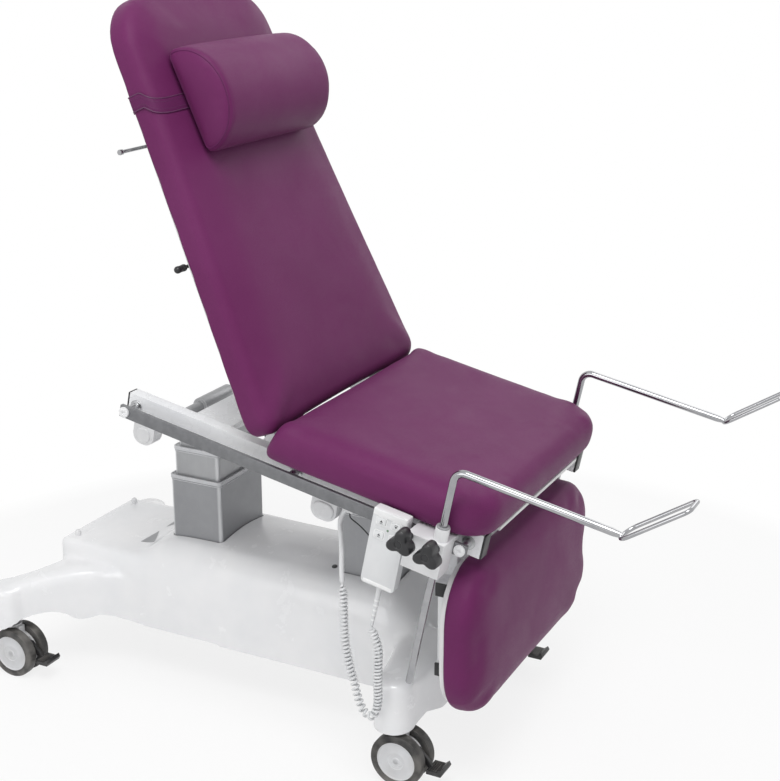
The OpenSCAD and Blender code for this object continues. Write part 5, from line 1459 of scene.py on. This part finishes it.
def knob(name, node, sign, u, w, tip):
    def spot(p):
        return on_frame((sign * p[0], u + p[1], w + p[2]))

    def ring(x, lobed, inset, r=0.0):
        points = []
        for k in range(72):
            a = 2 * math.pi * k / 72
            out = lobed * (23.4 + 6.6 * math.cos(3 * (a - math.pi / 2)) - inset) + (1 - lobed) * r
            points.append(spot((x, out * math.cos(a), out * math.sin(a))))
        return points

    piece(name, [lofted([ring(*row) for row in KNOB_ROWS]), cylinder(9, 388.5, 408.6, spot, 0.8),
                 cylinder(4, tip, 389, spot, 0.6)], BLACK_SATIN, node, angle=50)


def heel_loop(sign):
    """Points of the wire loop in the plane that leans back from the end of the arm."""
    points = []
    for cx, cy, r, first in ((4, 26, 26, 270), (18, 146, 12, 0), (-18, 146, 12, 90), (-4, 26, 26, 180)):
        for k in range(13):
            a = math.radians(first + 90 * k / 12)
            x, y = cx + r * math.cos(a), cy + r * math.sin(a)
            points.append(on_frame((sign * ROD_X + x, ARM_END + y * math.cos(LOOP_SLOPE),
                                    ARM_W + y * math.sin(LOOP_SLOPE))))
    lean = direction(on_frame, (0, -math.sin(LOOP_SLOPE), math.cos(LOOP_SLOPE)))
    return points, lean


def stirrup(side, sign):
    upright = [(-295, 5.6), (-294.2, 7.2), (-292.4, ROD_R), (-120, ROD_R), (20, ROD_R), (184, ROD_R)]
    arm = [(38, ROD_R), (-120, ROD_R), (-268, ROD_R), (-272, 7.9), (-286, 6), (ARM_END, 5.5)]
    rod = [(ROD_U, w, r) for w, r in upright]
    rod += [(ROD_U - BEND_R + BEND_R * math.cos(a), ARM_W - BEND_R + BEND_R * math.sin(a), ROD_R)
            for a in (math.radians(7.5 * k) for k in range(13))]
    rod += [(u, ARM_W, r) for u, r in arm]
    bar = swept([on_frame((sign * ROD_X, u, w)) for u, w, _ in rod], [r * MM for _, _, r in rod], 28,
                np.array([1.0, 0, 0]))
    points, lean = heel_loop(sign)
    piece("stirrup_bar_" + side, [bar, looped(points, 4.5 * MM, lean, 18)], CHROME, "stirrup_" + side,
          angle=50)


def leg_holders():
    for side, sign in SIDES.items():
        softened("rail_clamp_" + side, "rail_clamp_body_" + side, CLAMP_WHITE, 2.2, 3)
        softened("clamp_bush_" + side, "clamp_bush_ring_" + side, BUSH_GREY, 0.8, 2)
        knob("rail_knob_grip_" + side, "rail_knob_" + side, sign, 121, 46.5, 317)
        knob("rod_knob_grip_" + side, "rod_knob_" + side, sign, 60, 42, 377.3)
        stirrup(side, sign)


leg_holders()


# Handset with its keys, marks, lamp and ribbed relief
def mark(u, w, points, x=-376.85, thick=0.3):
    """Thin printed mark of a few corners on a key."""
    outline = [(u + a, w + b) for a, b in points]
    rings = [[on_frame((x - d, a, b)) for a, b in outline] for d in (0, thick)]
    return lofted(rings)


def handset():
    softened("handset", "handset_case", HANDSET_GREY, 2.6, 3)
    piece("handset_band", [rounded_block((-375.7, 135.6, 53), (-349.3, 214.4, 69.4), 3, on_frame)],
          HANDSET_WHITE, "handset", False)
    piece("handset_foot", [rounded_block((-375.6, 140, -105.4), (-349.4, 210, -95), 3, on_frame)],
          HANDSET_WHITE, "handset", False)
    bezel = [banded(lambda g, u=u, w=w: [(a + u, b + w) for a, b in round_outline(20.8, 15.8, 3.4, g)],
                    [(0.2, 0), (2.4, 0), (2.6, 0.5), (2.2, 0.8), (0.6, 0.8), (0.2, 0.5)],
                    lambda p: on_frame((-374.8 - p[2], p[0], p[1]))) for u in (192, 158) for w in (44, 13)]
    piece("handset_key_rims", bezel, HANDSET_WHITE, "handset", False)
    ribs = [hoop([(z - 2, r - 1.5), (z - 2, r + 0.5), (z - 1.2, r + 0.9), (z + 1.2, r + 0.9),
                  (z + 2, r + 0.5), (z + 2, r - 1.5)], 32, lambda p: on_frame((-362 + p[1], 173 + p[2], p[0])))
            for z, r in ((-190, 3.95), (-178, 4.3), (-166, 4.66), (-154, 5.02), (-142, 5.4))]
    piece("handset_relief_rings", ribs, HANDSET_WHITE, "handset", False)
    lamp = turned([(-374.6, 0), (-374.6, 2.6), (-375.5, 2.5), (-376, 1.6), (-376.2, 0)], 24,
                  lambda p: on_frame((p[0], 175 + p[1], 28.5 + p[2])))
    piece("handset_lamp", [lamp], LAMP_GREEN, "handset", False)
    arrow = [(-3.4, -1.6), (3.4, -1.6), (0, 3.2)]
    for i, (u, w) in enumerate([(192, 44), (158, 44), (192, 13), (158, 13)], 1):
        node = "key_%d" % i
        softened(node, "handset_key_%d" % i, KEY_PALE, 0.7, 3)
        turn = 1 if i % 2 else -1
        shapes = [mark(u, w, [(a, turn * b) for a, b in arrow][::turn])]
        shapes.append(mark(u, w - turn * 4.2, [(-3.4, -0.5), (3.4, -0.5), (3.4, 0.5), (-3.4, 0.5)]))
        piece("handset_key_mark_%d" % i, shapes, KEY_MARK, node, False)


handset()


# Floor, backdrop and soft studio light
def seen_share(tree):
    """1 for the rays that show the surroundings, 0 for those that only bring their light."""
    ray = place(tree, "LightPath").outputs
    direct = maths(tree, "MAXIMUM", ray["Is Camera Ray"], ray["Is Glossy Ray"])
    return maths(tree, "MAXIMUM", direct, ray["Is Transmission Ray"])


def plain_floor():
    """White floor and backdrop to the camera, pale to the light, and it keeps the shadow."""
    material, tree = empty_material("studio floor")
    surface = place(tree, "BsdfPrincipled", {"Base Color": ink("#F2F2F2"), "Roughness": 0.9})
    white = place(tree, "Emission", {"Color": (1, 1, 1, 1), "Strength": 1.0})
    where = place(tree, "VectorMath", {0: own_place(tree)}, operation="LENGTH")
    far = ranged(tree, where.outputs["Value"], 0.9, 1.7)
    share = maths(tree, "MULTIPLY", seen_share(tree), maths(tree, "MAXIMUM", far, 0.82))
    mixed = place(tree, "MixShader", {0: share, 1: surface.outputs[0], 2: white.outputs[0]})
    place(tree, "OutputMaterial", {"Surface": mixed.outputs[0]})
    mesh = bpy.data.meshes.new("studio_floor")
    mesh.from_pydata([(-6, -6, 0), (6, -6, 0), (6, 6, 0), (-6, 6, 0)], [], [(0, 1, 2, 3)])
    made = linked("studio_floor", mesh)
    made.data.materials.append(material)
    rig.stage(made)


def lamp(name, spot, target, size, power):
    data = bpy.data.lights.new(name, "AREA")
    data.shape, data.size, data.energy = "DISK", size, power
    made = linked(name, data)
    made.location = spot
    made.rotation_euler = (Vector(target) - Vector(spot)).to_track_quat("-Z", "Y").to_euler()


def studio():
    plain_floor()
    lamp("key_light", (-2.0, -1.0, 4.7), (0, 0, 0.6), 2.6, 122)
    lamp("side_light", (-4.2, 1.2, 1.7), (0, 0.1, 0.5), 2.4, 30)
    lamp("far_light", (3.4, -0.6, 3.0), (0, 0, 0.8), 2.4, 18)
    world = bpy.data.worlds.new("studio")
    world.use_nodes = True
    tree = world.node_tree
    tree.nodes.clear()
    strength = ranged(tree, seen_share(tree), 0, 1, 0.5, 1.0)
    sky = place(tree, "Background", {"Color": (1, 1, 1, 1), "Strength": strength})
    place(tree, "OutputWorld", {"Surface": sky.outputs[0]})
    bpy.context.scene.world = world
    bpy.context.scene.view_settings.view_transform = "Standard"


studio()
bpy.context.view_layer.update()
with open("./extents.json", "w") as sizes:
    json.dump({"cad": CAD_BOUNDS, "visual": [list(corner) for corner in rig.bounds()]}, sizes)
